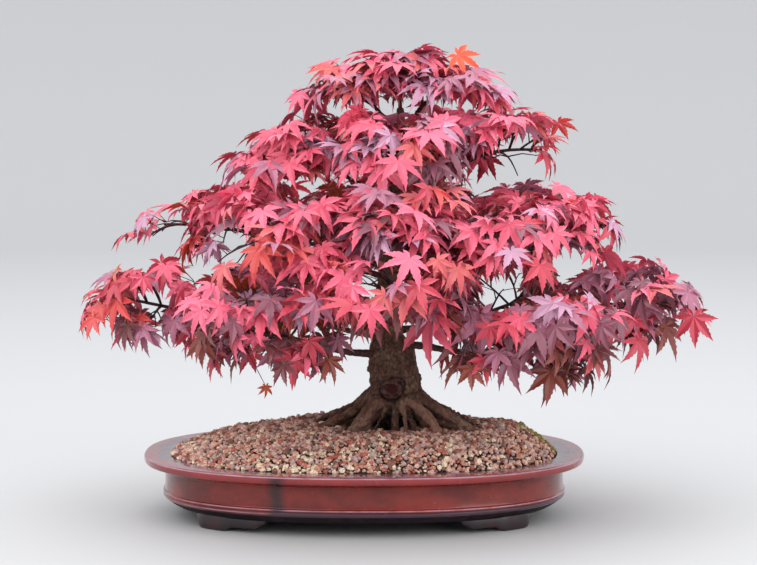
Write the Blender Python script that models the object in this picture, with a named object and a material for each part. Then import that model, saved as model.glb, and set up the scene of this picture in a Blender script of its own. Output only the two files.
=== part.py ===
"""Maple bonsai with autumn leaves in a shallow glazed oval pot.

Metres, +Z up. The origin lies at the level of the pot's feet, under the trunk.
The front is -Y and the pot's long side runs along X.
"""
import math
import random
from collections import namedtuple

import bmesh
import bpy
from mathutils import Matrix, Vector
from mathutils.bvhtree import BVHTree

OBJECT_NAME = "maple_bonsai"
GAP = 0.0003
HAIR = 0.000002
SLIVER = 0.00000005
SHARP_ANGLE = math.radians(38)

Station = namedtuple("Station", "height x y radius")
Root = namedtuple("Root", "bearing reach radius")
Room = namedtuple("Room", "name x y z half_x half_y half_z bough_height bough_radius")

# Pot: an oval with a broad flat lip, a belt round the wall and four feet
POT_X = -0.0325
RIM_HALF_LENGTH = 0.230
RIM_HALF_DEPTH = 0.170
OVAL_POWER = 2.3
RIM_TOP = 0.066
RIM_BAND = 0.0082
LIP_WIDTH = 0.029
EDGE_ROUND = 0.0014
UNDER_LIP = 0.0075
WALL_INSET = 0.0215
WALL_TOP = 0.0530
WALL_THICK = 0.0085
BELT_INSET = 0.0197
BELT_TOP = 0.0292
BELT_FOOT = 0.0235
BELT_EDGE = 0.0010
BASE_INSET = 0.0350
BASE_SPREAD = 0.0080
BASE_RISE = 0.0050
BASE_UNDER = 0.0135
FLOOR = 0.0225
FLOOR_BEVEL = 0.010
OVAL_SIDES = 36

# Feet: each follows the oval and curls up towards both ends
FOOT_INNER_X = 0.100
FOOT_OUTER_X = 0.176
FOOT_INSET = 0.0325
FOOT_THICK = 0.022
FOOT_SUNK = 0.003
FOOT_SLOPE = 0.5
# Share of the foot's length and height of its underside there
FOOT_STATIONS = (
    (0.00, 0.0105),
    (0.14, 0.0065),
    (0.34, 0.0050),
    (0.48, 0.0000),
    (0.78, 0.0000),
    (0.90, 0.0040),
    (1.00, 0.0095),
)

# Soil: gravel heaped from the lip's inner edge to level ground round the roots
SOIL_EDGE = 0.0640
GROUND = 0.0915
GROUND_X = 0.006
GROUND_Y = -0.004
GROUND_HALF_LENGTH = 0.104
GROUND_HALF_DEPTH = 0.070
SOIL_RINGS = 3
SOIL_LUMP = 0.0026

# Trunk: height, x, y and radius at each station, from below the cut to the tip
TRUNK = (
    Station(0.080, 0.000, 0.000, 0.0430),
    Station(0.098, 0.000, 0.000, 0.0390),
    Station(0.112, -0.001, 0.001, 0.0330),
    Station(0.126, -0.001, 0.001, 0.0285),
    Station(0.140, -0.001, 0.002, 0.0262),
    Station(0.156, -0.004, 0.003, 0.0257),
    Station(0.168, -0.004, 0.003, 0.0250),
    Station(0.178, -0.005, 0.003, 0.0220),
    Station(0.187, -0.007, 0.003, 0.0168),
    Station(0.200, -0.009, 0.002, 0.0142),
    Station(0.230, -0.008, -0.001, 0.0126),
    Station(0.265, -0.004, -0.003, 0.0113),
    Station(0.300, 0.001, 0.000, 0.0100),
    Station(0.340, 0.006, 0.003, 0.0084),
    Station(0.385, 0.007, 0.001, 0.0060),
    Station(0.424, 0.005, 0.000, 0.0036),
)
TRUNK_SIDES = 12
FLUTE_DEPTH = 0.055
BROAD_FLUTES = 3
BROAD_TWIST = 18
FINE_FLUTES = 5
FINE_TWIST = -31
FINE_SHARE = 0.6

# Roots: bearing in degrees, reach from the trunk's middle and radius at the trunk
ROOTS = (
    Root(163, 0.100, 0.0120),
    Root(196, 0.074, 0.0130),
    Root(232, 0.062, 0.0125),
    Root(268, 0.054, 0.0120),
    Root(297, 0.062, 0.0130),
    Root(326, 0.096, 0.0120),
    Root(355, 0.100, 0.0115),
    Root(32, 0.078, 0.0125),
    Root(74, 0.066, 0.0130),
    Root(120, 0.072, 0.0125),
)
ROOT_RISE = 0.042
ROOT_START = 0.012
ROOT_BEND = 0.45
ROOT_SWAY = 0.08
ROOT_HEIGHT = 0.012
ROOT_DIP = 0.004
ROOT_POINTS = 6
ROOT_SIDES = 6
ROOT_TIP_RADIUS = 0.0035

CUTTER_SIZE = 0.4

# Healed pruning cut on the front
SCAR_BEARING = 263
SCAR_HEIGHT = 0.1345
SCAR_RADIUS = 0.0105
SCAR_EDGE = 0.001
SCAR_PROUD = 0.003
SCAR_TAPER = 0.8
SCAR_SIDES = 10

# Boughs: collar on the trunk, then one tapering limb up to its mass
COLLAR_PROUD = 0.0050
COLLAR_SWELL = 1.12
COLLAR_SIDES = 6
BOUGH_POINTS = 6
BOUGH_TIP_RADIUS = 0.0022
BOUGH_REACH = 0.62
BOUGH_LIFT = 0.35
BOUGH_DIP = 0.30
BOUGH_STRAIGHT = 0.003
BOUGH_HANDLE = 0.35

# Masses: name, x, y, height, half-sizes along X, Y and Z, height and radius of its bough at the trunk
MASSES = (
    Room("left_low", -0.254, -0.006, 0.226, 0.096, 0.092, 0.054, 0.207, 0.0050),
    Room("left_front_low", -0.134, -0.132, 0.210, 0.094, 0.086, 0.058, 0.168, 0.0052),
    Room("front_low", 0.006, -0.178, 0.250, 0.084, 0.074, 0.050, 0.200, 0.0045),
    Room("right_front_low", 0.138, -0.126, 0.203, 0.092, 0.086, 0.066, 0.178, 0.0052),
    Room("right_low", 0.250, 0.006, 0.226, 0.098, 0.090, 0.058, 0.205, 0.0050),
    Room("right_back_low", 0.132, 0.138, 0.214, 0.094, 0.086, 0.058, 0.190, 0.0048),
    Room("back_low", 0.000, 0.174, 0.240, 0.086, 0.072, 0.054, 0.197, 0.0045),
    Room("left_back_low", -0.132, 0.138, 0.214, 0.094, 0.086, 0.058, 0.183, 0.0048),
    Room("left_mid", -0.200, 0.000, 0.308, 0.090, 0.082, 0.052, 0.262, 0.0042),
    Room("left_front_mid", -0.110, -0.116, 0.302, 0.082, 0.074, 0.050, 0.250, 0.0040),
    Room("front_mid", 0.000, -0.120, 0.318, 0.070, 0.066, 0.046, 0.275, 0.0036),
    Room("right_front_mid", 0.108, -0.116, 0.296, 0.084, 0.074, 0.050, 0.254, 0.0040),
    Room("right_mid", 0.180, 0.004, 0.306, 0.084, 0.080, 0.052, 0.268, 0.0042),
    Room("right_back_mid", 0.104, 0.120, 0.298, 0.084, 0.074, 0.050, 0.246, 0.0040),
    Room("back_mid", 0.000, 0.124, 0.316, 0.070, 0.066, 0.046, 0.281, 0.0036),
    Room("left_back_mid", -0.108, 0.118, 0.300, 0.084, 0.074, 0.050, 0.258, 0.0040),
    Room("left_upper", -0.114, -0.004, 0.374, 0.074, 0.074, 0.044, 0.334, 0.0036),
    Room("front_upper", 0.000, -0.088, 0.382, 0.076, 0.062, 0.042, 0.338, 0.0034),
    Room("right_upper", 0.116, 0.002, 0.380, 0.074, 0.074, 0.046, 0.329, 0.0036),
    Room("back_upper", 0.002, 0.088, 0.380, 0.076, 0.062, 0.042, 0.342, 0.0034),
    Room("left_top", -0.054, 0.000, 0.434, 0.058, 0.064, 0.040, 0.392, 0.0028),
    Room("right_top", 0.062, 0.000, 0.432, 0.064, 0.064, 0.042, 0.385, 0.0028),
    Room("crest", 0.006, 0.000, 0.478, 0.058, 0.060, 0.036, 0.0, 0.0),
)
FLATNESS = 1.7
FULLNESS = 3.0
WALL_CLEAR = 0.0012
LIMB_CLEAR = 0.0012
GUARD_PULL = 0.05

# Twigs: three-sided, in opposite pairs along the stem, as on any maple
SEED = 11
STEM_RADIUS = 0.0023
STEM_POINTS = 5
STEM_STRAIGHT = 0.002
STEM_HANDLE = 0.4
STEM_PAST = 0.15
SHOOT_RADIUS = 0.0014
TWIG_TIP_RADIUS = 0.0009
SHOOT_ARCH = 0.10
SHOOT_LEAST = 0.3
SHOOT_SPREAD = (82, 42)
SHOOT_LIFT = (0.62, -0.50)
SHOOT_TURN = 8
SHOOT_WANDER = 0.1
CREST_RISE = 0.1
CREST_LEAN = 0.2

# Leaves: five pointed lobes on a stalk, drooping like an umbrella
LEAF_REACH = 0.043
LEAF_THICK = 0.0015
LEAF_DROOP = 0.28
LEAF_SPREAD = 64
LEAF_STAGGER = 0.0008
LEAF_SETBACK = 0.90
LEAF_TURN = 16
LEAF_ROLL = 24
LEAF_SIZES = (0.94, 1.06)
LEAF_TRIES = 24
# Share of spread, stalk and size given up by the last try to find a leaf room
SPREAD_EASE = 0.4
STALK_EASE = 0.6
SIZE_EASE = 0.22
GROWTHS = 20
HANG_LEAST = 0.25
HANG_HIGH = 1.6
HANG_LOW = 4.0
HANG_HEIGHT = 0.30
STALK_LENGTH = 0.012
STALK_RISE = (-0.2, 0.7)
STALK_THICK = 0.0009
STALK_SINK = 0.0002
LEAF_OUTLINE = (
    (-168, 0.13),
    (-114, 0.62),
    (-83, 0.33),
    (-53, 0.90),
    (-25, 0.38),
    (0, 1.00),
    (25, 0.38),
    (53, 0.90),
    (83, 0.33),
    (114, 0.62),
    (168, 0.13),
)

POT_RED = (0.150, 0.022, 0.018)
GRAVEL = (0.420, 0.290, 0.220)
BARK = (0.075, 0.050, 0.038)
YOUNG_BARK = (0.085, 0.035, 0.028)
LEAF_TINTS = (
    (0.700, 0.080, 0.130),
    (0.620, 0.050, 0.075),
    (0.560, 0.130, 0.120),
    (0.400, 0.120, 0.160),
    (0.660, 0.140, 0.040),
)

UP = Vector((0, 0, 1))


def clear_scene():
    """Take every object out of the open file."""
    for item in list(bpy.data.objects):
        bpy.data.objects.remove(item, do_unlink=True)


def make_material(name, colour, roughness):
    """A plain surface with its own colour."""
    material = bpy.data.materials.new(name)
    material.use_nodes = True
    shader = material.node_tree.nodes["Principled BSDF"]
    shader.inputs["Base Color"].default_value = (*colour, 1.0)
    shader.inputs["Roughness"].default_value = roughness
    shader.inputs["Metallic"].default_value = 0.0
    return material


def add_object(name, bm, collection, material=None):
    """Put a bmesh into the scene as a named object."""
    mesh = bpy.data.meshes.new(name)
    bmesh.ops.recalc_face_normals(bm, faces=bm.faces)
    bm.to_mesh(mesh)
    bm.free()
    item = bpy.data.objects.new(name, mesh)
    if material:
        mesh.materials.append(material)
    collection.objects.link(item)
    return item


def loft(bm, rings):
    """Join rings of equal length side by side and close both ends."""
    loops = [[bm.verts.new(point) for point in ring] for ring in rings]
    count = len(loops[0])
    for lower, upper in zip(loops, loops[1:]):
        for i in range(count):
            j = (i + 1) % count
            bm.faces.new((lower[i], lower[j], upper[j], upper[i]))
    bm.faces.new(reversed(loops[0]))
    bm.faces.new(loops[-1])


def fuse(base, others):
    """Unite base with every object of a collection, then drop the collection's objects."""
    joint = base.modifiers.new("fuse", "BOOLEAN")
    joint.operation = "UNION"
    joint.solver = "MANIFOLD"
    joint.operand_type = "COLLECTION"
    joint.collection = others
    keep_result(base)
    for item in list(others.objects):
        bpy.data.objects.remove(item, do_unlink=True)
    bpy.data.collections.remove(others)


def keep_result(item):
    """Replace an object's mesh by the result of its modifiers."""
    graph = bpy.context.evaluated_depsgraph_get()
    graph.update()
    mesh = bpy.data.meshes.new_from_object(item.evaluated_get(graph))
    item.modifiers.clear()
    item.data = mesh


def shade_round(item):
    """Smooth shading, with an edge where faces meet sharply."""
    item.data.shade_smooth()
    item.data.set_sharp_from_angle(angle=SHARP_ANGLE)


def drop_flaps(bm):
    """Take away pairs of triangles that lie back to back on the same three corners."""
    while True:
        seen = {}
        flaps = []
        for face in bm.faces:
            corners = frozenset(face.verts)
            if corners in seen:
                flaps += [face, seen.pop(corners)]
            else:
                seen[corners] = face
        if not flaps:
            return
        bmesh.ops.delete(bm, geom=flaps, context="FACES_ONLY")
        bare = [edge for edge in bm.edges if not edge.link_faces]
        bmesh.ops.delete(bm, geom=bare, context="EDGES")


def loose_groups(bm):
    """Groups of vertices that hang together, the smallest first."""
    left = set(bm.verts)
    groups = []
    while left:
        group = []
        reach = [left.pop()]
        while reach:
            vert = reach.pop()
            group.append(vert)
            fresh = {edge.other_vert(vert) for edge in vert.link_edges} & left
            left -= fresh
            reach.extend(fresh)
        groups.append(group)
    return sorted(groups, key=len)


def clean(item):
    """Leave one body of triangles, with no flaps, scraps or sealed hollows; true where it is sound."""
    bm = bmesh.new()
    bm.from_mesh(item.data)
    bmesh.ops.triangulate(bm, faces=bm.faces)
    bmesh.ops.remove_doubles(bm, verts=bm.verts, dist=HAIR)
    drop_flaps(bm)
    scraps = [vert for group in loose_groups(bm)[:-1] for vert in group]
    bmesh.ops.delete(bm, geom=scraps, context="VERTS")
    closed = all(len(edge.link_faces) == 2 for edge in bm.edges)
    sound = closed and all(triangle_height(face) > SLIVER for face in bm.faces)
    bm.to_mesh(item.data)
    bm.free()
    return sound


def triangle_height(face):
    """Height of a triangle over its longest side."""
    return 2 * face.calc_area() / max(edge.calc_length() for edge in face.edges)


def oval_ring(inset, height):
    """Points on the rim's oval, moved in by the inset, at one height."""
    ring = []
    for i in range(OVAL_SIDES):
        ring.append(oval_point(math.tau * i / OVAL_SIDES, inset, height))
    return ring


def oval_point(angle, inset, height):
    """One point of the pot's oval, moved in square to the outline."""
    c = math.cos(angle)
    s = math.sin(angle)
    x = math.copysign(abs(c) ** (2 / OVAL_POWER), c)
    y = math.copysign(abs(s) ** (2 / OVAL_POWER), s)
    slope_x = math.copysign(abs(x) ** (OVAL_POWER - 1), x) / RIM_HALF_LENGTH
    slope_y = math.copysign(abs(y) ** (OVAL_POWER - 1), y) / RIM_HALF_DEPTH
    out = Vector((slope_x, slope_y)).normalized()
    px = POT_X + x * RIM_HALF_LENGTH - inset * out.x
    py = y * RIM_HALF_DEPTH - inset * out.y
    return Vector((px, py, height))


def pot_profile():
    """Inset and height round the pot's wall, from the underside over the lip to the floor."""
    inner_wall = WALL_INSET + WALL_THICK
    rim_foot = RIM_TOP - RIM_BAND
    return (
        (BASE_INSET, BASE_UNDER),
        (BASE_INSET - BASE_SPREAD, BASE_UNDER + BASE_RISE),
        (WALL_INSET, BELT_FOOT - BELT_EDGE),
        (BELT_INSET, BELT_FOOT),
        (BELT_INSET, BELT_TOP),
        (WALL_INSET, BELT_TOP + BELT_EDGE),
        (WALL_INSET, WALL_TOP),
        (UNDER_LIP, rim_foot),
        (EDGE_ROUND, rim_foot),
        (0.0, rim_foot + EDGE_ROUND),
        (0.0, RIM_TOP - EDGE_ROUND),
        (EDGE_ROUND, RIM_TOP),
        (LIP_WIDTH, RIM_TOP),
        (inner_wall, RIM_TOP - EDGE_ROUND),
        (inner_wall, FLOOR + FLOOR_BEVEL),
        (inner_wall + FLOOR_BEVEL, FLOOR),
    )


def build_pot(collection, material):
    """The glazed pot: one shell with its four feet fused on."""
    bm = bmesh.new()
    loft(bm, [oval_ring(inset, height) for inset, height in pot_profile()])
    pot = add_object("pot", bm, collection, material)
    feet = bpy.data.collections.new("feet")
    bpy.context.scene.collection.children.link(feet)
    for side in (-1, 1):
        for front in (-1, 1):
            build_foot(side, front, feet)
    fuse(pot, feet)
    shade_round(pot)


def foot_angle(x):
    """Angle on the oval where its inset line has a given distance from the middle."""
    low = 0.0
    high = math.pi / 2
    for _ in range(30):
        middle = (low + high) / 2
        if oval_point(middle, FOOT_INSET, 0.0).x - POT_X > x:
            low = middle
        else:
            high = middle
    return low


def build_foot(side, front, collection):
    """One foot along the oval, thick in the middle and curled up at its ends."""
    inner = foot_angle(FOOT_INNER_X)
    outer = foot_angle(FOOT_OUTER_X)
    top = BASE_UNDER + FOOT_SUNK
    rings = []
    for along, under in FOOT_STATIONS:
        angle = inner + (outer - inner) * along
        outside = oval_point(angle, FOOT_INSET + under * FOOT_SLOPE, 0.0)
        inside = oval_point(angle, FOOT_INSET + FOOT_THICK, 0.0)
        ring = []
        for point, height in ((outside, under), (inside, under), (inside, top), (outside, top)):
            x = POT_X + side * (point.x - POT_X)
            ring.append(Vector((x, front * point.y, height)))
        rings.append(ring)
    bm = bmesh.new()
    loft(bm, rings)
    add_object("foot", bm, collection)


def ground_ring():
    """Oval of the level ground round the trunk."""
    ring = []
    for i in range(OVAL_SIDES):
        angle = math.tau * i / OVAL_SIDES
        x = GROUND_X + GROUND_HALF_LENGTH * math.cos(angle)
        y = GROUND_Y + GROUND_HALF_DEPTH * math.sin(angle)
        ring.append(Vector((x, y, GROUND)))
    return ring


def build_soil(collection, material):
    """The gravel: it fills the pot and rises in a low, lumpy heap to the trunk."""
    inner_wall = WALL_INSET + WALL_THICK + GAP
    floor = oval_ring(inner_wall + FLOOR_BEVEL, FLOOR + GAP)
    bend = oval_ring(inner_wall, FLOOR + FLOOR_BEVEL + GAP)
    edge = oval_ring(inner_wall, SOIL_EDGE)
    rings = [floor, bend, edge]
    level = ground_ring()
    dice = random.Random(SEED)
    for step in range(1, SOIL_RINGS + 1):
        share = step / SOIL_RINGS
        height = SOIL_EDGE + (GROUND - SOIL_EDGE) * (1 - (1 - share) ** 2)
        lump = SOIL_LUMP if step < SOIL_RINGS else 0.0
        ring = []
        for outside, inside in zip(edge, level):
            point = outside.lerp(inside, share)
            point.z = height + dice.uniform(-lump, lump)
            ring.append(point)
        rings.append(ring)
    bm = bmesh.new()
    loft(bm, rings)
    shade_round(add_object("soil", bm, collection, material))


def frame_along(direction):
    """Two unit vectors square to a direction and to each other."""
    side = UP.cross(direction)
    if side.length < 1e-4:
        side = Vector((1, 0, 0)).cross(direction)
    side.normalize()
    return side, direction.cross(side).normalized()


def tube_rings(points, radii, sides):
    """Rings square to a path."""
    rings = []
    last = len(points) - 1
    for i, point in enumerate(points):
        ahead = points[min(i + 1, last)] - points[max(i - 1, 0)]
        across, over = frame_along(ahead.normalized())
        ring = []
        for k in range(sides):
            angle = math.tau * k / sides
            ring.append(point + radii[i] * (math.cos(angle) * across + math.sin(angle) * over))
        rings.append(ring)
    return rings


def trunk_at(height):
    """Middle of the trunk and its radius at a height."""
    for lower, upper in zip(TRUNK, TRUNK[1:]):
        if lower.height <= height <= upper.height:
            share = (height - lower.height) / (upper.height - lower.height)
            x = lower.x + (upper.x - lower.x) * share
            y = lower.y + (upper.y - lower.y) * share
            radius = lower.radius + (upper.radius - lower.radius) * share
            return Vector((x, y, height)), radius
    raise ValueError("height is off the trunk")


def trunk_ring(station, fatter=0.0):
    """One level ring of the trunk, fluted where roots and old boughs run down it."""
    ring = []
    for k in range(TRUNK_SIDES):
        angle = math.tau * k / TRUNK_SIDES
        broad = math.sin(BROAD_FLUTES * angle + BROAD_TWIST * station.height)
        fine = math.sin(FINE_FLUTES * angle + FINE_TWIST * station.height)
        reach = station.radius * (1 + FLUTE_DEPTH * (broad + FINE_SHARE * fine)) + fatter
        x = station.x + reach * math.cos(angle)
        y = station.y + reach * math.sin(angle)
        ring.append(Vector((x, y, station.height)))
    return ring


def bearing(degrees):
    """Level unit vector for a bearing, counted from +X towards +Y."""
    angle = math.radians(degrees)
    return Vector((math.cos(angle), math.sin(angle), 0))


def build_root(root, collection):
    """One surface root, running down and out of the trunk into the ground."""
    out = bearing(root.bearing)
    sway = out.cross(UP) * root.reach * ROOT_SWAY * math.sin(root.bearing)
    start = UP * (GROUND + ROOT_RISE) + out * ROOT_START
    bend = out * root.reach * ROOT_BEND + sway + UP * (GROUND + ROOT_HEIGHT)
    end = out * root.reach + UP * (GROUND - ROOT_DIP)
    points = curve_points(start, bend, bend, end, ROOT_POINTS)
    radii = tapered(root.radius, ROOT_TIP_RADIUS, ROOT_POINTS)
    bm = bmesh.new()
    loft(bm, tube_rings(points, radii, ROOT_SIDES))
    add_object("root", bm, collection)


def curve_points(start, leave, arrive, end, count):
    """Points on a cubic curve."""
    points = []
    for i in range(count):
        t = i / (count - 1)
        s = 1 - t
        points.append(start * s ** 3 + leave * 3 * s * s * t + arrive * 3 * s * t * t + end * t ** 3)
    return points


def tapered(first, last, count):
    """Radii that fall evenly from the first to the last."""
    return [first + (last - first) * i / (count - 1) for i in range(count)]


def mass_centre(row):
    """Middle of a mass."""
    return Vector((row.x, row.y, row.z))


def bough_frame(row):
    """Where a bough leaves the trunk: the trunk's middle there, its radius and the way out."""
    middle, radius = trunk_at(row.bough_height)
    out = mass_centre(row) - middle
    out.z *= BOUGH_LIFT
    return middle, radius, out.normalized()


def bough_path(row):
    """Points and radii of the bough that carries a mass."""
    middle, radius, out = bough_frame(row)
    start = middle + out * (radius + COLLAR_PROUD + GAP)
    centre = mass_centre(row)
    inward = middle - centre
    inward.z = 0.0
    inward.normalize()
    half = 1.0 / math.hypot(inward.x / row.half_x, inward.y / row.half_y)
    end = centre + inward * half * BOUGH_REACH
    end.z = centre.z - BOUGH_DIP * row.half_z
    straight = start + out * BOUGH_STRAIGHT
    handle = (end - straight).length * BOUGH_HANDLE
    arrive = end - (centre - end).normalized() * handle
    points = [start] + curve_points(straight, straight + out * handle, arrive, end, BOUGH_POINTS - 1)
    return points, tapered(row.bough_radius, BOUGH_TIP_RADIUS, BOUGH_POINTS)


def build_trunk(collection, material):
    """Trunk with its roots, bough collars and pruning cut, cut off flat at the ground."""
    bm = bmesh.new()
    loft(bm, [trunk_ring(station) for station in TRUNK])
    trunk = add_object("trunk", bm, collection, material)
    extras = bpy.data.collections.new("trunk_extras")
    bpy.context.scene.collection.children.link(extras)
    for root in ROOTS:
        build_root(root, extras)
    for row in MASSES[:-1]:
        middle, radius, out = bough_frame(row)
        end = middle + out * (radius + COLLAR_PROUD)
        swell = row.bough_radius * COLLAR_SWELL
        build_stub([middle, end], [swell * COLLAR_SWELL, swell], COLLAR_SIDES, extras)
    middle, radius = trunk_at(SCAR_HEIGHT)
    out = bearing(SCAR_BEARING)
    points = [middle + out * reach for reach in (0.0, radius + SCAR_EDGE, radius + SCAR_PROUD)]
    build_stub(points, [SCAR_RADIUS, SCAR_RADIUS, SCAR_RADIUS * SCAR_TAPER], SCAR_SIDES, extras)
    fuse(trunk, extras)
    cut_at_ground(trunk)
    clean(trunk)
    shade_round(trunk)


def build_stub(points, radii, sides, collection):
    """A short tapering piece on the trunk."""
    bm = bmesh.new()
    loft(bm, tube_rings(points, radii, sides))
    add_object("stub", bm, collection)


def cut_at_ground(trunk):
    """Take away all of the trunk below the ground."""
    place = (0, 0, GROUND + GAP - CUTTER_SIZE / 2)
    bpy.ops.mesh.primitive_cube_add(size=CUTTER_SIZE, location=place)
    block = bpy.context.object
    cut = trunk.modifiers.new("cut", "BOOLEAN")
    cut.operation = "DIFFERENCE"
    cut.solver = "MANIFOLD"
    cut.object = block
    keep_result(trunk)
    bpy.data.objects.remove(block, do_unlink=True)


def build_bough(row, collection, material):
    """One bough as a tapering curve with flat ends."""
    points, radii = bough_path(row)
    curve = bpy.data.curves.new("bough_" + row.name, "CURVE")
    curve.dimensions = "3D"
    curve.bevel_depth = 1.0
    curve.bevel_resolution = 1
    curve.use_fill_caps = True
    spline = curve.splines.new("POLY")
    spline.points.add(len(points) - 1)
    for target, point, radius in zip(spline.points, points, radii):
        target.co = (*point, 1.0)
        target.radius = radius
    curve.materials.append(material)
    bough = bpy.data.objects.new("bough_" + row.name, curve)
    collection.objects.link(bough)
    return bough


def limb_guard():
    """Trunk and boughs, a little fattened, as a tree for touch tests."""
    bm = bmesh.new()
    loft(bm, [trunk_ring(station, LIMB_CLEAR * 2) for station in TRUNK])
    for row in MASSES[:-1]:
        points, radii = bough_path(row)
        middle = bough_frame(row)[0]
        points[-1] = points[-1].lerp(points[-2], GUARD_PULL)
        fat = [radius * COLLAR_SWELL + LIMB_CLEAR for radius in [radii[0]] + radii]
        loft(bm, tube_rings([middle] + points, fat, COLLAR_SIDES))
    guard = BVHTree.FromBMesh(bm)
    bm.free()
    return guard


class Space:
    """The room that one mass keeps to: its ellipsoid, cut by flat walls to its neighbours."""

    def __init__(self, row):
        self.centre = mass_centre(row)
        self.half = Vector((row.half_x, row.half_y, row.half_z))
        self.walls = []
        for other in MASSES:
            if other is not row:
                self.walls.append(self.wall_to(row, other))

    def wall_to(self, row, other):
        """Plane between two masses: its normal, away from this one, and its offset."""
        scale = Vector((1, 1, FLATNESS))
        here = mass_centre(row) * scale
        there = mass_centre(other) * scale
        away = there - here
        weight = (row.half_x * row.half_y - other.half_x * other.half_y) / (2 * away.length)
        offset = away.normalized().dot((here + there) / 2) + weight
        normal = away.normalized() * scale
        return normal / normal.length, offset / normal.length

    def holds(self, points):
        """True where every point is in the room, clear of its walls."""
        for point in points:
            shares = [abs(point[k] - self.centre[k]) / self.half[k] for k in range(3)]
            if sum(share ** FULLNESS for share in shares) > 1.0:
                return False
            for normal, offset in self.walls:
                if normal.dot(point) > offset - WALL_CLEAR:
                    return False
        return True

    def reach(self, start, direction):
        """Distance along a direction, from a point inside, to where the room ends."""
        near = 0.0
        far = 2 * max(self.half)
        for _ in range(14):
            middle = (near + far) / 2
            if self.holds([start + direction * middle]):
                near = middle
            else:
                far = middle
        return near


def leaf_mesh(root, centre, axis, normal, reach):
    """Leaf with a drooping outline, thick in the middle, on a stalk that ends in the twig."""
    side = normal.cross(axis).normalized()
    bm = bmesh.new()
    rim = []
    for degrees, length in LEAF_OUTLINE:
        angle = math.radians(degrees)
        span = reach * length
        flat = math.cos(angle) * axis + math.sin(angle) * side
        rim.append(bm.verts.new(centre + flat * span - normal * LEAF_DROOP * span * length))
    top = bm.verts.new(centre + normal * LEAF_THICK / 2)
    bottom = bm.verts.new(centre - normal * LEAF_THICK / 2)
    stalk_top = bm.verts.new(root + normal * STALK_THICK / 2)
    stalk_foot = bm.verts.new(root - normal * STALK_THICK / 2)
    for vert, after in zip(rim, rim[1:]):
        bm.faces.new((vert, after, top))
        bm.faces.new((after, vert, bottom))
    for vert, turn in ((rim[-1], 1), (rim[0], -1)):
        for face in ((vert, stalk_top, top), (stalk_foot, vert, bottom), (vert, stalk_foot, stalk_top)):
            bm.faces.new(face[::turn])
    return bm


def twig_mesh(points, radii):
    """Three-sided twig along a path."""
    bm = bmesh.new()
    loft(bm, tube_rings(points, radii, 3))
    return bm


def clear_of(trees, bm):
    """True where a mesh touches none of the shapes kept as trees."""
    shape = BVHTree.FromBMesh(bm)
    return not any(tree.overlap(shape) for tree in trees)


def turned(direction, degrees):
    """A direction turned about the vertical."""
    return Matrix.Rotation(math.radians(degrees), 3, "Z") @ direction


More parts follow.
